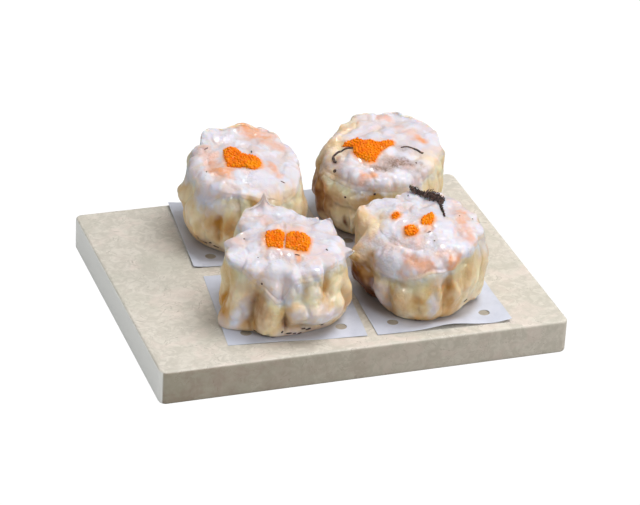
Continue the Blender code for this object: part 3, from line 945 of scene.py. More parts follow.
def filling(dumpling, mince):
    """The mass of mince and shrimp. It lies close behind the dough inside the cup and comes out flush over
    the rim."""
    angle, level = np.meshgrid(all_round(), np.linspace(0.06, 1, TUCKED_ROWS))
    rim = rim_height(dumpling, angle[0])
    behind, _ = wall(dumpling, angle, level * rim)
    turn = np.linspace(0, pi / 2, SHOULDER_ROWS + 1)[1:]
    over = crown(dumpling, np.linspace(1, 0.02, CROWN_ROWS + 1)[1:])
    plain = np.concatenate([behind, shoulder(dumpling, turn), over])
    facing = ring_normals(plain)
    facing[-1] = (0, 0, 1)
    out, lump = relief(dumpling, plain)
    under_rim = rim - plain[..., 2]
    under_rim[TUCKED_ROWS:] = np.minimum(under_rim[TUCKED_ROWS:], 0)
    past_rim = -under_rim
    past_rim[TUCKED_ROWS:-CROWN_ROWS] = PAST_RIM * np.sin(turn)[:, None]
    past_rim[-CROWN_ROWS:] = PAST_RIM
    out = out * (1 - CROWN_CALM * soft_step(past_rim, 0, PAST_RIM)) * spike_calm(dumpling, angle[0], past_rim)
    tuck = (DOUGH_AT_FOOT - DOUGH_AT_RIM) * soft_step(under_rim, 0.5, 7)
    tuck = tuck + (DOUGH_AT_RIM + TUCK_GAP) * soft_step(under_rim, 0.3, 2.4)
    skin = plain + facing * (out * soft_step(plain[..., 2], -1, 3) - tuck)[..., None]
    columns = np.broadcast_to(angle[0], plain.shape[:2])
    skin = skin + TIP_BACKING * tip_push(dumpling, columns, np.where(under_rim < 0, past_rim, under_rim))
    skin[..., 2] = np.maximum(skin[..., 2], DOUGH_AT_FOOT + TUCK_GAP)
    points, faces = closed_rings(skin, (0, 0, DOUGH_AT_FOOT + TUCK_GAP), skin[-1].mean(axis=0))
    obj = add_mesh(f"shrimp_filling_{dumpling.number}", to_world(points, dumpling.middle), faces)
    store_looks(
        obj, dumpling, points,
        lump=np.append(lump.ravel(), [0, lump[-1].mean()]),
        edge=np.append(past_rim.ravel(), [-FAR, PAST_RIM]),
        shrimp=shrimp_mask(dumpling, points),
        glow=roe_glow(dumpling, points),
        gills=gill_mask(dumpling, points),
    )
    return finished(obj, mince, "mince", f"filling_{dumpling.number}")


def shrimp_mask(dumpling, points):
    """How strongly each place is coloured by a piece of shrimp under it, with soft and uneven edges."""
    seed = dumpling.number + 80
    ragged = 0.6 * wobble(points, 3.4, seed) + 0.35 * wobble(points, 1.5, seed + 1)
    mask = np.zeros(len(points))
    for (x0, y0), (x1, y1), radius, strength in dumpling.shrimps:
        along = np.array([x1 - x0, y1 - y0])
        share = np.clip(((points[:, :2] - (x0, y0)) @ along) / (along @ along), 0, 1)
        away = np.linalg.norm(points[:, :2] - (x0, y0) - share[:, None] * along, axis=1) / radius + ragged
        mask = np.maximum(mask, strength * fade(away, 0.1, 1.45))
    return mask * (points[:, 2] > 8)


def roe_glow(dumpling, points):
    """How strongly a heap of roe tints the mince at its foot."""
    glow = np.zeros(len(points))
    clumps = [clump for heap in HEAPS if heap.number == dumpling.number for clump in heap.clumps]
    for middle, outline in clumps:
        away = points[:, :2] - middle
        turn = np.arctan2(away[:, 1], away[:, 0])
        step = np.round(turn / (2 * pi / OUTLINE_STEPS)).astype(int) % OUTLINE_STEPS
        reach = outline_reaches(middle, outline)[step]
        glow = np.maximum(glow, fade(np.hypot(away[:, 0], away[:, 1]) - reach, -0.3, 1.7))
    return glow * (points[:, 2] > 15)


def gill_mask(dumpling, points):
    """How strongly brown mushroom gills show through the mince."""
    ragged = 0.5 * wobble(points, 2.0, 90)
    mask = np.zeros(len(points))
    for x, y, long, wide, strength in dumpling.gills:
        away = np.hypot((points[:, 0] - x) / long, (points[:, 1] - y) / wide) + ragged
        mask = np.maximum(mask, strength * fade(away, 0.2, 1.4))
    return mask * (points[:, 2] > 15)


def dough_colour(look, fold, lump, small):
    """Cream to tan dough, paler on its lumps and darker in its folds, partly as painted highlight and painted
    crease shade, with the patches that the dumpling lists: amber, cream that is partly a painted highlight,
    and brown painted shade.
    """
    patch = look.noise(8 * MM, 2.0, 0.5, 0.3, stretch=0.5).step(0.36, 0.64)
    dusk = look.noise(7 * MM, 2.0, 0.5, 0.4, shift=0.7, stretch=0.5).step(0.50, 0.66)
    olive = look.noise(7 * MM, 2.0, 0.5, 0.4, shift=0.45, stretch=0.6).step(0.50, 0.66)
    return look.coats(
        look.mix(patch, colour_of(216, 184, 140), colour_of(236, 216, 184)),
        # paler lump tops: partly the dough's own tone, partly a painted highlight
        (lump.step(0.1, 0.9) * 0.5, colour_of(236, 220, 196)),
        (dusk * 0.35, colour_of(204, 152, 102)),
        (olive * 0.4, colour_of(210, 182, 118)),
        # darker amber in the folds: partly the dough's own colour, partly painted crease shade
        (fold.step(0.15, 0.8) * (0.25 + 0.35 * small.step(0.3, 0.7)), colour_of(184, 138, 80)),
        # cream patches: paler dough, partly a painted highlight on lit lobes
        (look.attribute("cream_stain") * (0.5 + 0.5 * small), colour_of(244, 226, 196)),
        (look.attribute("amber_stain") * (0.7 + 0.4 * small), colour_of(186, 132, 46)),
        # brown patches: painted shade in recesses, under overhangs, at the feet and on walls that face a
        # neighbour
        (look.attribute("brown_stain") * (0.7 + 0.3 * small), colour_of(116, 66, 24)),
    )


def mince_colour(look, lump):
    """Bluish white mince, whiter on its lumps and pinker between them, partly as painted light on the lumps
    and painted shade between them, with salmon shrimp, brown gills and orange by the roe.
    """
    patch = look.noise(7 * MM, 2.0, 0.5, 0.3).step(0.38, 0.62)
    pink = look.noise(6.5 * MM, 2.0, 0.5, 0.5, shift=0.4).step(0.52, 0.70)
    milky = look.noise(6 * MM, 2.0, 0.5, 0.4, shift=0.2).step(0.52, 0.68)
    band = 0.35 + look.noise(2.8 * MM, 2.0, 0.5, 0.6, shift=0.9)
    stripes = look.noise(1.2 * MM, 3.0, 0.6, 1.5, shift=0.7).step(0.4, 0.6)
    return look.coats(
        look.mix(patch, colour_of(206, 200, 210), colour_of(214, 200, 198)),
        # whiter lumps over pinker mince: partly the mince's own tone, partly painted light and shade
        (lump.step(0.05, 0.6) * 0.85, colour_of(214, 214, 225)),
        (pink * 0.5, colour_of(222, 196, 190)),
        (milky * 0.7, colour_of(222, 224, 236)),
        (look.attribute("shrimp") * band, colour_of(224, 154, 104)),
        (look.attribute("glow") * 0.95, colour_of(240, 160, 84)),
        (look.attribute("gills") * (0.5 + 0.5 * stripes), colour_of(134, 110, 98)),
    )


def skin_finish(name):
    """The wet skin that dough and filling share. It runs unevenly from dough to mince near the rim."""
    look = Finish(name)
    fold, lump = look.attribute("fold"), look.attribute("lump")
    small = look.noise(2.4 * MM, 3.0, 0.55, 0.2, shift=0.3)
    broad = look.noise(6.5 * MM, 3.0, 0.5, 0.4, shift=0.25)
    ragged = look.attribute("edge") + 15 * (broad - 0.5) + 7 * (small - 0.5)
    share = ragged.step(-3.5, 2.0).max(look.attribute("mince_stain") * (0.7 + 0.6 * small))
    share = share * (1 - look.attribute("dough_stain") * (0.6 + 0.7 * small))
    colour = look.mix(share, dough_colour(look, fold, lump, small), mince_colour(look, lump))
    rough = look.noise(2.2 * MM, 3.0, 0.5, 0.3, shift=0.5)
    beads = 1 - look.cells(0.8 * MM)
    wet = look.noise(5 * MM, 2.0, 0.5, shift=0.8).step(0.44, 0.60)
    grain = look.noise(0.7 * MM, 2.0, 0.6, shift=0.6)
    normal = look.bump(rough, 0.26 * MM, 0.6)
    normal = look.bump(beads * wet, 0.17 * MM, 0.7, normal)
    normal = look.bump(grain, 0.05 * MM, 0.6, normal)
    return look.done(
        Base_Color=colour,
        Roughness=0.32 + 0.2 * small,
        Normal=normal,
        Subsurface_Weight=0.7,
        Subsurface_Radius=(1.0, 0.62, 0.38),
        Subsurface_Scale=2.2 * MM,
        Coat_Weight=0.4,
        Coat_Roughness=0.06,
        IOR=1.4,
    )


# ---------------------------------------------------------------- what lies on the crowns


ABOVE, OUTSIDE = 60.0, 50  # places that are clear of any dumpling, in its own millimetres


class Ground:
    """A dumpling's real outside, for toppings to lie on. Places are in the dumpling's own millimetres."""

    def __init__(self, dumpling, cup, mass):
        self.middle = dumpling.middle
        parts = []
        for skin in (cup.data, mass.data):
            points = [vertex.co.copy() for vertex in skin.vertices]
            parts.append((points, [face.vertices for face in skin.polygons]))
        self.tree = BVHTree.FromPolygons(*joined(parts))

    def hit(self, start, way):
        """The first place that a ray meets and the way it faces there."""
        return self.tree.ray_cast(Vector(start), Vector(way))[:2]

    def top(self, x, y):
        """The place on top at x and y, and the way it faces, both in metres."""
        return self.hit(to_world(np.array([x, y, ABOVE]), self.middle), (0, 0, -1))

    def over(self, x, y, rise):
        """A place at a rise over the top."""
        place, _ = self.top(x, y)
        return (x, y, (place.z - DUMPLING_FLOOR) / MM + rise)

    def side(self, angle, height):
        """The place on the side at an angle in degrees and a height, and the way it faces, both in metres."""
        out = np.array([cos(radians(angle)), sin(radians(angle)), 0])
        start = to_world(out * OUTSIDE + np.array([0, 0, height]), self.middle)
        inward = to_world(np.array([0, 0, height]), self.middle) - start
        return self.hit(start, Vector(inward).normalized())


@dataclass
class Heap:
    """A heap of roe: its clumps, each an outline and the middle it is measured from, and its height."""

    node: str
    number: int
    clumps: tuple
    height: float = 1.0


def oval(x, y, half_x, half_y, lean=0):
    """A small clump with an uneven oval outline, whose long way leans by an angle in degrees."""
    outline = []
    for i in range(12):
        turn = i * pi / 6
        uneven = 1 + 0.05 * sin(2.3 * i) + 0.04 * cos(4.1 * i)
        right, up = turned(half_x * uneven * cos(turn), half_y * uneven * sin(turn), radians(lean))
        outline.append((x + right, y + up))
    return ((x, y), tuple(outline))


LONG_HEAP = (
    (-2.4, 1.0), (-3.4, 2.8), (-4.6, 4.6), (-6.3, 5.6), (-8.3, 4.0), (-8.0, 0), (-7.2, -3.8), (-6.4, -6.8),
    (-1, -7.6), (2.5, -8.4), (4.8, -7.2), (5.0, -4), (4.2, -1.6), (2.0, -0.2),
)
WINGED_HEAP = (
    (-4.0, -0.3), (-5.6, -0.6), (-7.6, -0.6), (-9.0, 1.0), (-11.2, 1.4), (-13.6, 0.4), (-14.2, -1.2),
    (-12.3, -2.2), (-10.4, -4.0), (-10.2, -7), (-9.2, -9.2), (-6.6, -10.8), (-4, -12), (-2.6, -11),
    (-1.8, -8.6), (-0.6, -6.6), (1.2, -5.4), (3.2, -3.8), (3.6, -1.2), (2.2, 0), (0.8, -0.8), (-0.8, -1.8),
    (-2.4, -1.8),
)
LEFT_BLOCK = ((-1.0, 1.0), (-3.2, 1.4), (-6.8, 1.2), (-7.2, -3), (-6.2, -7.4), (-1.4, -8.4), (-1.0, -3.6))
RIGHT_BLOCK = (
    (-0.2, 0.6), (-0.4, -4), (-0.3, -8.2), (0.8, -8.4), (3.9, -9.2), (6.9, -9.0), (7.6, -5), (7.4, -1.4),
    (4.8, 0.8), (1.2, 1.4),
)
HEAPS = (
    Heap("roe_1", 1, (((-4, -4), LONG_HEAP),)),
    Heap("roe_2", 2, (((-5, -4.5), WINGED_HEAP),), 1.1),
    Heap("roe_3", 3, (((-4, -3), LEFT_BLOCK), ((3, -4), RIGHT_BLOCK))),
    Heap("roe_4_left", 4, (oval(-9.6, 0.9, 1.4, 2.3),), 0.6),
    Heap("roe_4_front", 4, (oval(-4.5, -7.0, 2.5, 2.0, -40),), 0.8),
    Heap("roe_4_right", 4, (oval(0.8, -2.4, 1.9, 2.9, -25),), 1.0),
)
OUTLINE_STEPS = 72
GRAIN_RADIUS = 0.52 * MM
GRAIN_SPACING = 0.78 * MM
GRAINS_SIT_OUT = 0.25  # how far a core is drawn in from its heap's outline, for its grains to reach it
GRAINS_SIT_UP = 0.4  # and how far it stays under the heap's top
STRIP_SIDES = 10


def outline_reach(middle, outline, turn):
    """How far an outline is from its middle in one direction."""
    mx, my = middle
    way = Vector((cos(turn), sin(turn)))
    nearest = 0.0
    for i, (x1, y1) in enumerate(outline):
        x0, y0 = outline[i - 1]
        start, side = Vector((x0 - mx, y0 - my)), Vector((x1 - x0, y1 - y0))
        across = way.x * side.y - way.y * side.x
        if abs(across) > 1e-9:
            reach = (start.x * side.y - start.y * side.x) / across
            share = (start.x * way.y - start.y * way.x) / across
            if reach > 0 and 0 <= share <= 1:
                nearest = max(nearest, reach)
    return nearest


def outline_reaches(middle, outline):
    """How far an outline is from its middle, in even steps all round."""
    turns = [i * 2 * pi / OUTLINE_STEPS for i in range(OUTLINE_STEPS)]
    return np.array([outline_reach(middle, outline, turn) for turn in turns])


def clump_core(middle, outline, height, ground):
    """Points and faces of the smaller core that one clump's grains sit on, sunk into the crown a little."""
    reaches = np.maximum(outline_reaches(middle, outline) - GRAINS_SIT_OUT, 0.3)
    top = height - GRAINS_SIT_UP
    rises = [(1.0, -0.7), (1.0, 0.2 * height - GRAINS_SIT_UP), (0.95, 0.75 * height - GRAINS_SIT_UP)]
    rises += [(share, top) for share in (0.85, 0.6, 0.4, 0.2)]
    rings = []
    for share, rise in rises:
        ring = []
        for i, reach in enumerate(reaches):
            turn = i * 2 * pi / OUTLINE_STEPS
            x, y = middle[0] + share * reach * cos(turn), middle[1] + share * reach * sin(turn)
            ring.append(ground.over(x, y, rise))
        rings.append(ring)
    return closed_rings(np.array(rings), ground.over(*middle, -1.0), ground.over(*middle, top))


def heap_core(heap, ground):
    """The core under all of a heap's grains."""
    points, faces = joined(clump_core(*clump, heap.height, ground) for clump in heap.clumps)
    return add_mesh(f"roe_grains_{heap.node[4:]}", to_world(np.array(points), ground.middle), faces)


def grains_making():
    """Grains of roe set close together all over a core."""
    making = Making("roe grains", Radius=NUMBER, Spacing=NUMBER, Seed=WHOLE_NUMBER)
    given = making.given
    sockets = {"Mesh": given["Geometry"], "Distance Min": given["Spacing"], "Seed": given["Seed"]}
    sockets["Density Max"] = 9e6
    spread = making.made("GeometryNodeDistributePointsOnFaces", sockets, distribute_method="POISSON")
    ball = making.made("GeometryNodeMeshUVSphere", {"Segments": 9, "Rings": 6, "Radius": given["Radius"]})
    size = making.node("FunctionNodeRandomValue", {"data_type": "FLOAT"}, {2: 0.85, 3: 1.12}).outputs[1]
    grains = making.made("GeometryNodeInstanceOnPoints", {"Points": spread, "Instance": ball, "Scale": size})
    both = making.node("GeometryNodeJoinGeometry")
    making.tree.links.new(given["Geometry"], both.inputs[0])
    making.tree.links.new(grains, both.inputs[0])
    return making.ends(making.made("GeometryNodeSetShadeSmooth", {"Geometry": both.outputs[0]}))


def roe_heaps(grounds, roe):
    """Every heap of roe: its core with grains all over it."""
    making = grains_making()
    for i, heap in enumerate(HEAPS):
        core = heap_core(heap, grounds[heap.number])
        making.run(core, Material=roe, Radius=GRAIN_RADIUS, Spacing=GRAIN_SPACING, Seed=i)
        finished(core, roe, "roe", heap.node)


def roe_finish():
    """Orange flying fish roe: glossy and clear enough to glow."""
    look = Finish("flying fish roe")
    spot = look.noise(1.3 * MM, 2.0, 0.5)
    patch = look.noise(4 * MM, 2.0, 0.5, shift=0.4)
    colour = look.mix(spot.step(0.35, 0.65), colour_of(238, 118, 0), colour_of(244, 140, 0))
    colour = look.mix(patch.step(0.50, 0.70) * 0.6, colour, colour_of(246, 164, 6))
    return look.done(
        Base_Color=colour,
        Roughness=0.2 + 0.1 * spot,
        Subsurface_Weight=0.25,
        Subsurface_Radius=(1.0, 0.35, 0.05),
        Subsurface_Scale=0.6 * MM,
        Coat_Weight=0.05,
        Coat_Roughness=0.06,
        Specular_IOR_Level=0.3,
        IOR=1.34,
    )


def route_points(route, steps):
    """Points along a smooth line through a route's own points."""
    ends = [route[0], *route, route[-1]]
    line = []
    for a, b, c, d in zip(ends, ends[1:], ends[2:], ends[3:]):
        a, b, c, d = (np.array(p, float) for p in (a, b, c, d))
        for i in range(steps):
            t = i / steps
            line.append(b + 0.5 * t * (c - a + t * (2 * a - 5 * b + 4 * c - d + t * (3 * (b - c) + d - a))))
    return [*line, np.array(route[-1], float)]


def strip(name, ground, route, thick):
    """A flattened strip along a route on the crown, whose points give x, y, the rise over the crown and half
    the strip's width."""
    line = route_points(route, 8)
    rings = []
    for i, (x, y, rise, half) in enumerate(line):
        ahead, behind = line[min(i + 1, len(line) - 1)], line[max(i - 1, 0)]
        way = Vector((ahead[0] - behind[0], ahead[1] - behind[1])).normalized()
        middle = ground.over(x, y, rise)
        ring = []
        for j in range(STRIP_SIDES):
            turn = 2 * pi * j / STRIP_SIDES
            side, up = half * cos(turn), thick / 2 * sin(turn)
            ring.append((x - way.y * side, y + way.x * side, middle[2] + up))
        rings.append(ring)
    points, faces = closed_rings(np.array(rings), ground.over(*line[0][:3]), ground.over(*line[-1][:3]))
    obj = add_mesh(name, to_world(points, ground.middle), faces)
    store(obj, "half_width", np.append(np.repeat([half for _, _, _, half in line], STRIP_SIDES), [0, 0]))
    return obj


def crumbs_making():
    """Ragged crumbs and shreds strewn where a strip runs, which they take the place of."""
    making = Making("mushroom crumbs", Crumb=NUMBER, Density=NUMBER, Stray=NUMBER, Seed=WHOLE_NUMBER)
    given = making.given

    def drawn(low, high, seed):
        sockets = {0: low, 1: high, "Seed": seed}
        return making.made("FunctionNodeRandomValue", sockets, data_type="FLOAT_VECTOR")

    sockets = {"Mesh": given["Geometry"], "Density": given["Density"], "Seed": given["Seed"]}
    spread = making.made("GeometryNodeDistributePointsOnFaces", sockets, distribute_method="RANDOM")
    wide = making.made("GeometryNodeInputNamedAttribute", {"Name": "half_width"}, data_type="FLOAT")
    reach = making.made("ShaderNodeMath", {0: wide, 1: given["Stray"]}, operation="MULTIPLY")
    sockets = {0: drawn((-1, -1, -0.3), (1, 1, 0.5), 9), "Scale": reach}
    offset = making.made("ShaderNodeVectorMath", sockets, operation="SCALE")
    strewn = making.made("GeometryNodeSetPosition", {"Geometry": spread, "Offset": offset})
    crumb = making.made("GeometryNodeMeshIcoSphere", {"Radius": given["Crumb"], "Subdivisions": 1})
    sockets = {"Points": strewn, "Instance": crumb, "Rotation": drawn((0, 0, 0), (6.2, 6.2, 6.2), 0)}
    sockets["Scale"] = drawn((0.4, 0.2, 0.16), (2.2, 0.5, 0.4), 5)
    return making.ends(making.made("GeometryNodeInstanceOnPoints", sockets))


LEFT_EDGE = (
    (-9.6, -4.4, 0.1, 0.12), (-12.6, -3.8, 0.2, 0.24), (-15.2, -5.0, 0.25, 0.3), (-16.9, -7.0, 0.25, 0.4),
    (-16.6, -8.6, 0.2, 0.6), (-15.8, -9.4, 0.1, 0.5),
)
RIGHT_EDGE = ((6, -4.2, 0, 0.1), (8.6, -3.2, 0.1, 0.22), (11.4, -3.4, 0.2, 0.34), (13.8, -4.8, 0.15, 0.44))
BACK_SHREDS = (
    (-4.8, 17.8, 1.6, 0.5), (-3.4, 17.0, 0.8, 0.9), (-1.0, 16.2, 0.4, 0.7), (1.0, 15.6, 0.4, 1.3),
    (3.2, 14.6, 0.4, 1.3), (4.8, 12.6, 0.3, 1.1), (5.2, 9.6, 0.15, 0.4), (5.6, 5.6, 0.1, 0.2),
    (6.4, 0.8, 0.05, 0.1),
)


def mushrooms(grounds, mushroom):
    """Two thin dark edges in the second dumpling, and the crumbly black strip at the back of the fourth."""
    for side, route, thick in (("left", LEFT_EDGE, 0.8), ("right", RIGHT_EDGE, 0.7)):
        edge = strip(f"mushroom_edge_{side}", grounds[2], route, thick)
        finished(edge, mushroom, "mushroom", f"mushroom_2_{side}")
    shreds = strip("mushroom_shreds", grounds[4], BACK_SHREDS, 0.5)
    crumbs_making().run(shreds, Material=mushroom, Crumb=0.40 * MM, Density=15e6, Stray=0.95 * MM, Seed=3)
    finished(shreds, mushroom, "mushroom", "mushroom_4")


# Dark specks of mushroom caught in each dumpling: on top at an x and y in millimetres, or on the side at an
# angle and a height, then how long and how wide they are, in millimetres, and how far round they are turned.
TOP_SPECKS = {
    1: (
        (1.2, 3.4, 1.7, 0.5, 30), (-14.3, 4.6, 1.6, 0.5, -35), (12.6, -11.8, 0.4, 1.9, 10),
        (-13.4, -8.6, 1.0, 0.4, 20),
    ),
    2: ((11.5, -10.4, 0.9, 0.5, 40), (-16.2, -12, 1.5, 1.3, 30)),
    3: (
        (-14, -1.6, 0.8, 0.5, 0), (13, -6.6, 0.5, 1.1, -20), (3.6, -10.8, 0.4, 1.8, 25),
        (-9, -11, 0.4, 0.4, 0),
    ),
    4: (
        (1.2, -8.4, 1.6, 0.4, 20), (3.2, -11.6, 0.6, 0.4, 0), (15.8, 3.4, 0.5, 0.5, 0),
        (-5.6, 15, 1.0, 0.4, 10), (11.4, 2.2, 0.6, 0.4, 0),
    ),
}
SIDE_SPECKS = {
    1: ((229, 2.6, 2.2, 0.8, 0), (243, 2.6, 2.6, 0.7, 0), (236, 3.2, 1.4, 0.6, 0), (222, 3.4, 1.0, 0.5, 0)),
    2: ((238, 16, 0.9, 0.8, 0), (264, 18.4, 1.0, 0.8, 40)),
    3: (
        (248, 19.2, 0.8, 0.8, 0), (293, 2.4, 1.6, 0.9, 0), (277, 1.6, 2.2, 0.7, 0), (283, 1.2, 1.4, 0.6, 0),
        (262, 0.8, 1.6, 0.4, 0), (243, 1.4, 1.8, 0.5, 0), (308, 3.6, 1.6, 0.5, 20), (300, 1.6, 2.6, 0.9, 0),
        (270, 2.2, 1.2, 0.8, 0), (315, 2.4, 1.4, 0.6, 0), (289, 0.7, 1.8, 0.7, 0), (253, 0.9, 2.2, 0.6, 0),
    ),
    4: ((268, 0.8, 2.6, 0.6, 0), (322, 5, 1.6, 0.6, 20)),
}


def speck(place, normal, long, wide, turn):
    """Points and faces of one small flat lump that lies on a surface."""
    out = normal.normalized()
    side = out.orthogonal().normalized()
    if abs(out.z) < 0.9:
        side = Vector((0, 0, 1)).cross(out).normalized()
    over = out.cross(side)
    along = side * cos(radians(turn)) + over * sin(radians(turn))
    across = out.cross(along)
    rings = []
    for share, rise in ((0.8, -0.1), (1.0, 0.05), (0.7, 0.16)):
        ring = []
        for i in range(10):
            ahead = along * (0.5 * long * MM * share * cos(i * pi / 5))
            aside = across * (0.5 * wide * MM * share * sin(i * pi / 5))
            ring.append(list(place + ahead + aside + out * (rise * MM)))
        rings.append(ring)
    return closed_rings(np.array(rings), list(place - out * (0.16 * MM)), list(place + out * (0.2 * MM)))


def specks(grounds, mushroom):
    """All the loose dark specks, as one piece."""
    laid = []
    for number, ground in grounds.items():
        laid += [speck(*ground.top(x, y), *rest) for x, y, *rest in TOP_SPECKS[number]]
        laid += [speck(*ground.side(angle, height), *rest) for angle, height, *rest in SIDE_SPECKS[number]]
    points, faces = joined(laid)
    finished(add_mesh("mushroom_specks", np.array(points), faces), mushroom, "mushroom")


def mushroom_finish():
    """Black fungus and mushroom skin: almost black, with a little brown."""
    look = Finish("black mushroom")
    spot = look.noise(1.0 * MM, 3.0, 0.6)
    colour = look.mix(spot.step(0.42, 0.68), colour_of(44, 28, 26), colour_of(120, 90, 78))
    normal = look.bump(look.noise(0.5 * MM, 3.0, 0.6, shift=0.3), 0.1 * MM, 0.7)
    rough = 0.4 + 0.2 * spot
    return look.done(Base_Color=colour, Roughness=rough, Normal=normal, Coat_Weight=0.15, Coat_Roughness=0.15)


# ---------------------------------------------------------------- papers

PAPER_SIDE = 46 * MM
HOLE_RADIUS = 1.9 * MM
HOLE_INSET = 7.2 * MM
PAPER_TURNS = {1: radians(-5), 2: radians(-4), 3: radians(-6.5), 4: radians(-2.5)}
# the painted shade between the dumplings: its middle, its reach and its turn
GAP_MIDDLE = (19 * MM, 13 * MM, 0)  # the narrow place between the second dumpling and the front ones
GAP_REACH = (8.5 * MM, 34 * MM, 1)
GAP_TURN = -0.25


def paper_making():
    """A square sheet, finely divided so that it can bend, with a hole near each corner."""
    making = Making("punched sheet", Side=NUMBER, Sheet=NUMBER, Hole=NUMBER, Inset=NUMBER)
    given = making.given
    size = making.made("ShaderNodeCombineXYZ", {0: given["Side"], 1: given["Side"], 2: given["Sheet"]})
    sheet = making.made("GeometryNodeMeshCube", {"Size": size, "Vertices X": 40, "Vertices Y": 40})
    sockets = {0: given["Inset"], 1: -2.0, 2: given["Side"]}
    between = making.made("ShaderNodeMath", sockets, operation="MULTIPLY_ADD")
    sockets = {"Size X": between, "Size Y": between, "Vertices X": 2, "Vertices Y": 2}
    corners = making.made("GeometryNodeMeshGrid", sockets)
    sockets = {"Vertices": 28, "Radius": given["Hole"], "Depth": 10 * MM}
    punch = making.made("GeometryNodeMeshCylinder", sockets)
    punches = making.made("GeometryNodeInstanceOnPoints", {"Points": corners, "Instance": punch})
    sockets = {"Mesh 1": sheet, "Mesh 2": punches}
    return making.ends(making.made("GeometryNodeMeshBoolean", sockets, operation="DIFFERENCE"))


def paper_lift(number, x, y):
    """How far one paper's places stand off the slab, from its middle out, in millimetres."""
    wave = 0.18 * np.sin(x / 5 + number) * np.cos(y / 6 - number) + 0.18
    edge = soft_step(np.maximum(np.abs(x), np.abs(y)), 15, 23)
    lift = wave * edge
    if number == 1:
        out = (y - x) / 2**0.5
        lift = lift + 0.5 * np.clip((out - 20) / 12, 0, 1) ** 1.6
        lift = lift + 0.5 * np.clip((-x - 17) / 6, 0, 1) ** 1.5
    if number == 4:
        lift = lift + 1.3 * np.exp(-(((x - 2) / 8) ** 2)) * np.clip((-y - 14) / 9, 0, 1) ** 1.5
        lift = lift + 1.0 * np.clip((x - 16) / 7, 0, 1) ** 1.5 * np.clip((-y - 4) / 19, 0, 1)
    return lift


def papers(paper):
    """Four punched papers. The first curls up at its back left corner and the last bows up at its front."""
    making = paper_making()
    sizes = {"Side": PAPER_SIDE, "Sheet": PAPER_SHEET, "Hole": HOLE_RADIUS, "Inset": HOLE_INSET}
    for number, turn in PAPER_TURNS.items():
        low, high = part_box(f"paper_{number}")
        obj = add_mesh(f"punched_paper_{number}", [(0, 0, 0)], [])
        making.run(obj, Material=paper, **sizes)
        local = points_of(obj)
        x, y = turned(local[:, 0], local[:, 1], turn)
        rise = paper_lift(number, local[:, 0] / MM, local[:, 1] / MM) * MM
        middle = (low + high) / 2
        height = PAPER_FLOOR + PAPER_SHEET / 2 + local[:, 2] + rise
        move_points(obj, np.stack([middle.x + x, middle.y + y, height], axis=-1))
        finished(obj, paper, "paper", f"paper_{number}")


def painted_gap_shade(look):
    """Where shade is painted in the narrow place between the dumplings that little light gets into, from 0 to
    1.
    """
    place = look.mapped(GAP_MIDDLE, GAP_REACH, GAP_TURN, vector_type="TEXTURE")
    return 1 - look.length(place).step(0.65, 1.05)


def painted_foot_shade(look):
    """A ring of painted shade round the foot of each dumpling, from 0 to 1."""
    ring = 0.0
    for dumpling in DUMPLINGS:
        away = look.length(look.mapped((-dumpling.middle.x, -dumpling.middle.y, 0), (1, 1, 0)))
        ring = (1 - away.step(0.84 * dumpling.radius * MM, 1.02 * dumpling.radius * MM)).max(ring)
    return ring


def under_paper(look, number):
    """Where one paper lies on the slab: 1 inside and 0 outside."""
    low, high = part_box(f"paper_{number}")
    middle, turn, scale = (low + high) / 2, PAPER_TURNS[number], 2 / PAPER_SIDE
    x, y = turned(-middle.x, -middle.y, -turn)
    place = look.mapped((x * scale, y * scale, 0), (scale, scale, 0), -turn)
    apart = look.node("ShaderNodeSeparateXYZ", {}, {0: place})
    x, y = (Value(look, apart.outputs[i]) for i in (0, 1))
    return 1 - abs(x).max(abs(y)).step(0.9, 0.97)


def paper_finish():
    """Bluish white steaming paper: soft fibres, greyer where it is damp, and painted shade round each
    dumpling's foot and between the dumplings.
    """
    look = Finish("steaming paper")
    damp = look.noise(14 * MM, 3.0, 0.55, 0.4)
    fibre = look.noise(1.0 * MM, 4.0, 0.65, 0.3)
    colour = look.coats(
        look.mix(damp.step(0.40, 0.68), colour_of(204, 210, 226), colour_of(190, 196, 212)),
        (fibre.step(0.5, 0.8) * 0.3, colour_of(216, 220, 232)),
        # painted shade round each dumpling's foot
        (painted_foot_shade(look) * 0.5, colour_of(132, 120, 104)),
        # painted shade in the gap between the dumplings
        (painted_gap_shade(look) * 0.6, colour_of(80, 58, 40)),
    )
    normal = look.bump(fibre, 0.05 * MM, 0.5, look.bump(damp, 0.5 * MM, 0.3))
    return look.done(Base_Color=colour, Roughness=0.62 + 0.15 * fibre, Normal=normal)


# ---------------------------------------------------------------- slab

SLAB_CORNER = 2.6 * MM
SLAB_EDGE = 0.9 * MM
SIDE_STEPS = 90


def slab_outline(inset):
    """Points round the slab's rounded rectangle, drawn in by an inset, evenly spaced along each side."""
    corner = max(SLAB_CORNER - inset, 0.2 * MM)
    half_x, half_y = SLAB_HIGH.x - inset - corner, SLAB_HIGH.y - inset - corner
    points = []
    for quarter, (sx, sy) in enumerate(((1, 1), (-1, 1), (-1, -1), (1, -1))):
        for i in range(9):
            turn = (quarter + i / 8) * pi / 2
            points.append((sx * half_x + corner * cos(turn), sy * half_y + corner * sin(turn)))
        x0, y0 = points[-1]
        nx, ny = ((-1, 1), (-1, -1), (1, -1), (1, 1))[quarter]
        x1 = nx * half_x + corner * cos((quarter + 1) * pi / 2)
        y1 = ny * half_y + corner * sin((quarter + 1) * pi / 2)
        for i in range(1, SIDE_STEPS):
            points.append((x0 + (x1 - x0) * i / SIDE_STEPS, y0 + (y1 - y0) * i / SIDE_STEPS))
    return np.array(points)


def slab_ring(inset, height, share=1.0):
    """The slab's outline at a height, drawn in by an inset and shrunk to a share."""
    flat = slab_outline(inset) * share
    return np.column_stack([flat, np.full(len(flat), height)])


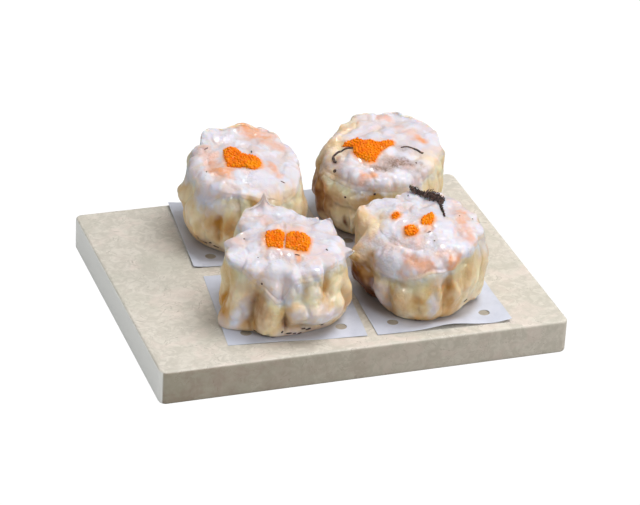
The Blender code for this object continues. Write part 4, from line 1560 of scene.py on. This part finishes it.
def slab(stone):
    """A slab with softly worn edges, with painted shade on its front face and painted light on its left face.
    """
    quarter = [radians(a) for a in (0, 22.5, 45, 67.5, 90)]
    worn = [(SLAB_EDGE * (1 - sin(turn)), SLAB_EDGE * (1 - cos(turn))) for turn in quarter]
    upright = SLAB_TOP - 2 * SLAB_EDGE
    rings = [slab_ring(SLAB_EDGE, 0, share) for share in (0.15, 0.3, 0.5, 0.7, 0.85, 0.95)]
    rings += [slab_ring(inset, up) for inset, up in worn]
    rings += [slab_ring(0, SLAB_EDGE + upright * share) for share in np.linspace(0, 1, 10)[1:-1]]
    rings += [slab_ring(inset, SLAB_TOP - down) for inset, down in worn[::-1]]
    rings += [slab_ring(SLAB_EDGE, SLAB_TOP, s) for s in (0.985, 0.96, 0.93, 0.85, 0.7, 0.5, 0.3, 0.15)]
    points, faces = closed_rings(np.array(rings), (0, 0, 0), (0, 0, SLAB_TOP))
    obj = add_mesh("marble_slab", points, faces)
    on_side = (points[:, 2] > 0.2 * MM) & (points[:, 2] < SLAB_TOP - 0.5 * MM)
    front = on_side & (points[:, 1] < SLAB_LOW.y + SLAB_EDGE)
    left = on_side & (points[:, 0] < SLAB_LOW.x + SLAB_EDGE)
    # painted shade on the front face, darker towards the left, and painted light on the left face
    store(obj, "dark_cut", front * (0.75 - 0.55 * (points[:, 0] / SLAB_HIGH.x + 1) / 2))
    store(obj, "pale_cut", left * 1.0)
    return finished(obj, stone, "stone", "stone_slab")


def stone_finish():
    """Honed beige marble: soft flakes, grey-green clouds, pinkish patches and thin dark seams, with painted
    shade under the papers, between the dumplings and on the front face, and painted light on the left face.
    """
    look = Finish("beige marble")
    clouds = look.noise(26 * MM, 3.0, 0.55, 0.6)
    flakes = look.noise(3.4 * MM, 4.0, 0.6, 1.2, shift=0.02)
    pinks = look.noise(11 * MM, 3.0, 0.55, 0.8, shift=0.05)
    seam = look.noise(15 * MM, 5.0, 0.6, 1.6, shift=0.09)
    vein = 1 - abs(seam - 0.5).step(0.0, 0.012)
    rust = look.noise(7 * MM, 4.0, 0.6, 1.0, shift=0.3).step(0.40, 0.65)
    colour = look.coats(
        look.mix(flakes.step(0.35, 0.65), colour_of(196, 191, 180), colour_of(215, 210, 200)),
        (pinks.step(0.50, 0.70) * 0.5, colour_of(224, 210, 202)),
        (clouds.step(0.52, 0.72) * 0.45, colour_of(186, 186, 172)),
        (vein * flakes.step(0.40, 0.60) * 0.5, colour_of(130, 122, 108)),
        # painted shade on the slab under each paper, which shows through its holes
        *((under_paper(look, number) * 0.6, colour_of(128, 120, 108)) for number in PAPER_TURNS),
        # painted shade in the gap between the dumplings
        (painted_gap_shade(look) * 0.6, colour_of(80, 58, 40)),
        # painted shade on the front face, mottled, and painted light on the left face
        (look.attribute("dark_cut"), look.mix(rust, colour_of(150, 142, 122), colour_of(138, 120, 100))),
        (look.attribute("pale_cut"), colour_of(254, 254, 250)),
    )
    normal = look.bump(flakes, 0.10 * MM, 0.35)
    return look.done(Base_Color=colour, Roughness=0.42 + 0.2 * flakes, Normal=normal)


# ---------------------------------------------------------------- camera, light and floor

CAMERA_AZIMUTH = radians(-19.85)
CAMERA_ELEVATION = radians(28.5)
CAMERA_ROLL = radians(3)
CAMERA_DISTANCE = 1.014
CAMERA_RIGHT = 1.1 * MM
CAMERA_UP = 4.8 * MM
CAMERA_LENS = 168.75


def camera():
    """A camera with a long lens that looks down at the slab from its front left."""
    level = cos(CAMERA_ELEVATION)
    back = Vector((sin(CAMERA_AZIMUTH) * level, -cos(CAMERA_AZIMUTH) * level, sin(CAMERA_ELEVATION)))
    right = Vector((0, 0, 1)).cross(back).normalized()
    up = back.cross(right)
    data = bpy.data.cameras.new("camera")
    data.lens = CAMERA_LENS
    data.sensor_width = 36
    data.clip_start = 0.05
    data.clip_end = 20
    obj = bpy.data.objects.new("camera", data)
    bpy.context.scene.collection.objects.link(obj)
    place = Vector((0, 0, SLAB_TOP)) + back * CAMERA_DISTANCE + right * CAMERA_RIGHT + up * CAMERA_UP
    facing = Matrix((right, up, back)).transposed()
    obj.matrix_world = Matrix.Translation(place) @ (facing @ Matrix.Rotation(CAMERA_ROLL, 3, "Z")).to_4x4()
    bpy.context.scene.camera = obj


def softbox(name, place, size, power, colour=(1, 1, 1), mirrored=True, lit=True, aim=(0, 0, 0.02)):
    """A flat light. One that isn't mirrored gives no highlights, and one that isn't lit only gives those."""
    data = bpy.data.lights.new(name, "AREA")
    data.shape = "RECTANGLE"
    data.size, data.size_y = size
    data.energy = power
    data.color = colour
    obj = bpy.data.objects.new(name, data)
    obj.location = place
    obj.visible_glossy = mirrored
    obj.visible_diffuse = lit
    obj.rotation_euler = (Vector(aim) - Vector(place)).to_track_quat("-Z", "Y").to_euler()
    bpy.context.scene.collection.objects.link(obj)


GLINTS = (  # the place and size of each
    ((0.25, -0.45, 0.70), 0.04), ((0.05, 0.5, 0.75), 0.05), ((-0.45, -0.45, 0.55), 0.04),
    ((-0.05, -0.1, 0.9), 0.05),
)


def lights():
    """A pale sky, three soft lights, and four small ones that show only where something wet mirrors them."""
    world = bpy.data.worlds.new("studio")
    world.use_nodes = True
    sky = world.node_tree.nodes["Background"]
    sky.inputs["Color"].default_value = (1.0, 0.985, 0.96, 1)
    sky.inputs["Strength"].default_value = 0.37
    bpy.context.scene.world = world
    softbox("key", (0.34, 0.02, 0.80), (0.42, 0.42), 5.6, (1.0, 0.985, 0.97), mirrored=False)
    softbox("left", (-0.9, -0.15, 0.10), (0.5, 0.3), 2.2, (0.93, 0.97, 1.0), mirrored=False, aim=(0, 0, 0.01))
    softbox("right", (0.45, -0.75, 0.40), (0.35, 0.35), 3.7, (1.0, 0.98, 0.95))
    for place, size in GLINTS:
        softbox("glint", place, (size, size), 1.8, lit=False)


def floor(material):
    obj = add_mesh("floor", [(-3, -3, 0), (3, -3, 0), (3, 3, 0), (-3, 3, 0)], [[0, 1, 2, 3]], smooth=False)
    obj.data.materials.append(material)


def floor_finish():
    """A white floor that throws less light back up at the slab's sides than it shows."""
    look = Finish("white floor")
    seen = look.node("ShaderNodeLightPath").outputs["Is Camera Ray"]
    white = look.node("ShaderNodeEmission", {}, {"Color": (1, 1, 1, 1), "Strength": 1.05})
    dim = look.node("ShaderNodeBsdfDiffuse", {}, {"Color": (0.30, 0.30, 0.30, 1)})
    shader = look.node("ShaderNodeMixShader", {}, {"Fac": seen, 1: dim.outputs[0], 2: white.outputs[0]})
    look.node("ShaderNodeOutputMaterial", {}, {"Surface": shader.outputs[0]})
    return look.material


# ---------------------------------------------------------------- the whole thing


def main():
    camera()
    lights()
    floor(floor_finish())
    bpy.context.scene.view_settings.view_transform = "Standard"
    dough, mince = skin_finish("steamed dough"), skin_finish("shrimp mince")
    slab(stone_finish())
    papers(paper_finish())
    grounds = {}
    for dumpling in DUMPLINGS:
        grounds[dumpling.number] = Ground(dumpling, wrapper(dumpling, dough), filling(dumpling, mince))
    roe_heaps(grounds, roe_finish())
    mushroom = mushroom_finish()
    mushrooms(grounds, mushroom)
    specks(grounds, mushroom)


main()
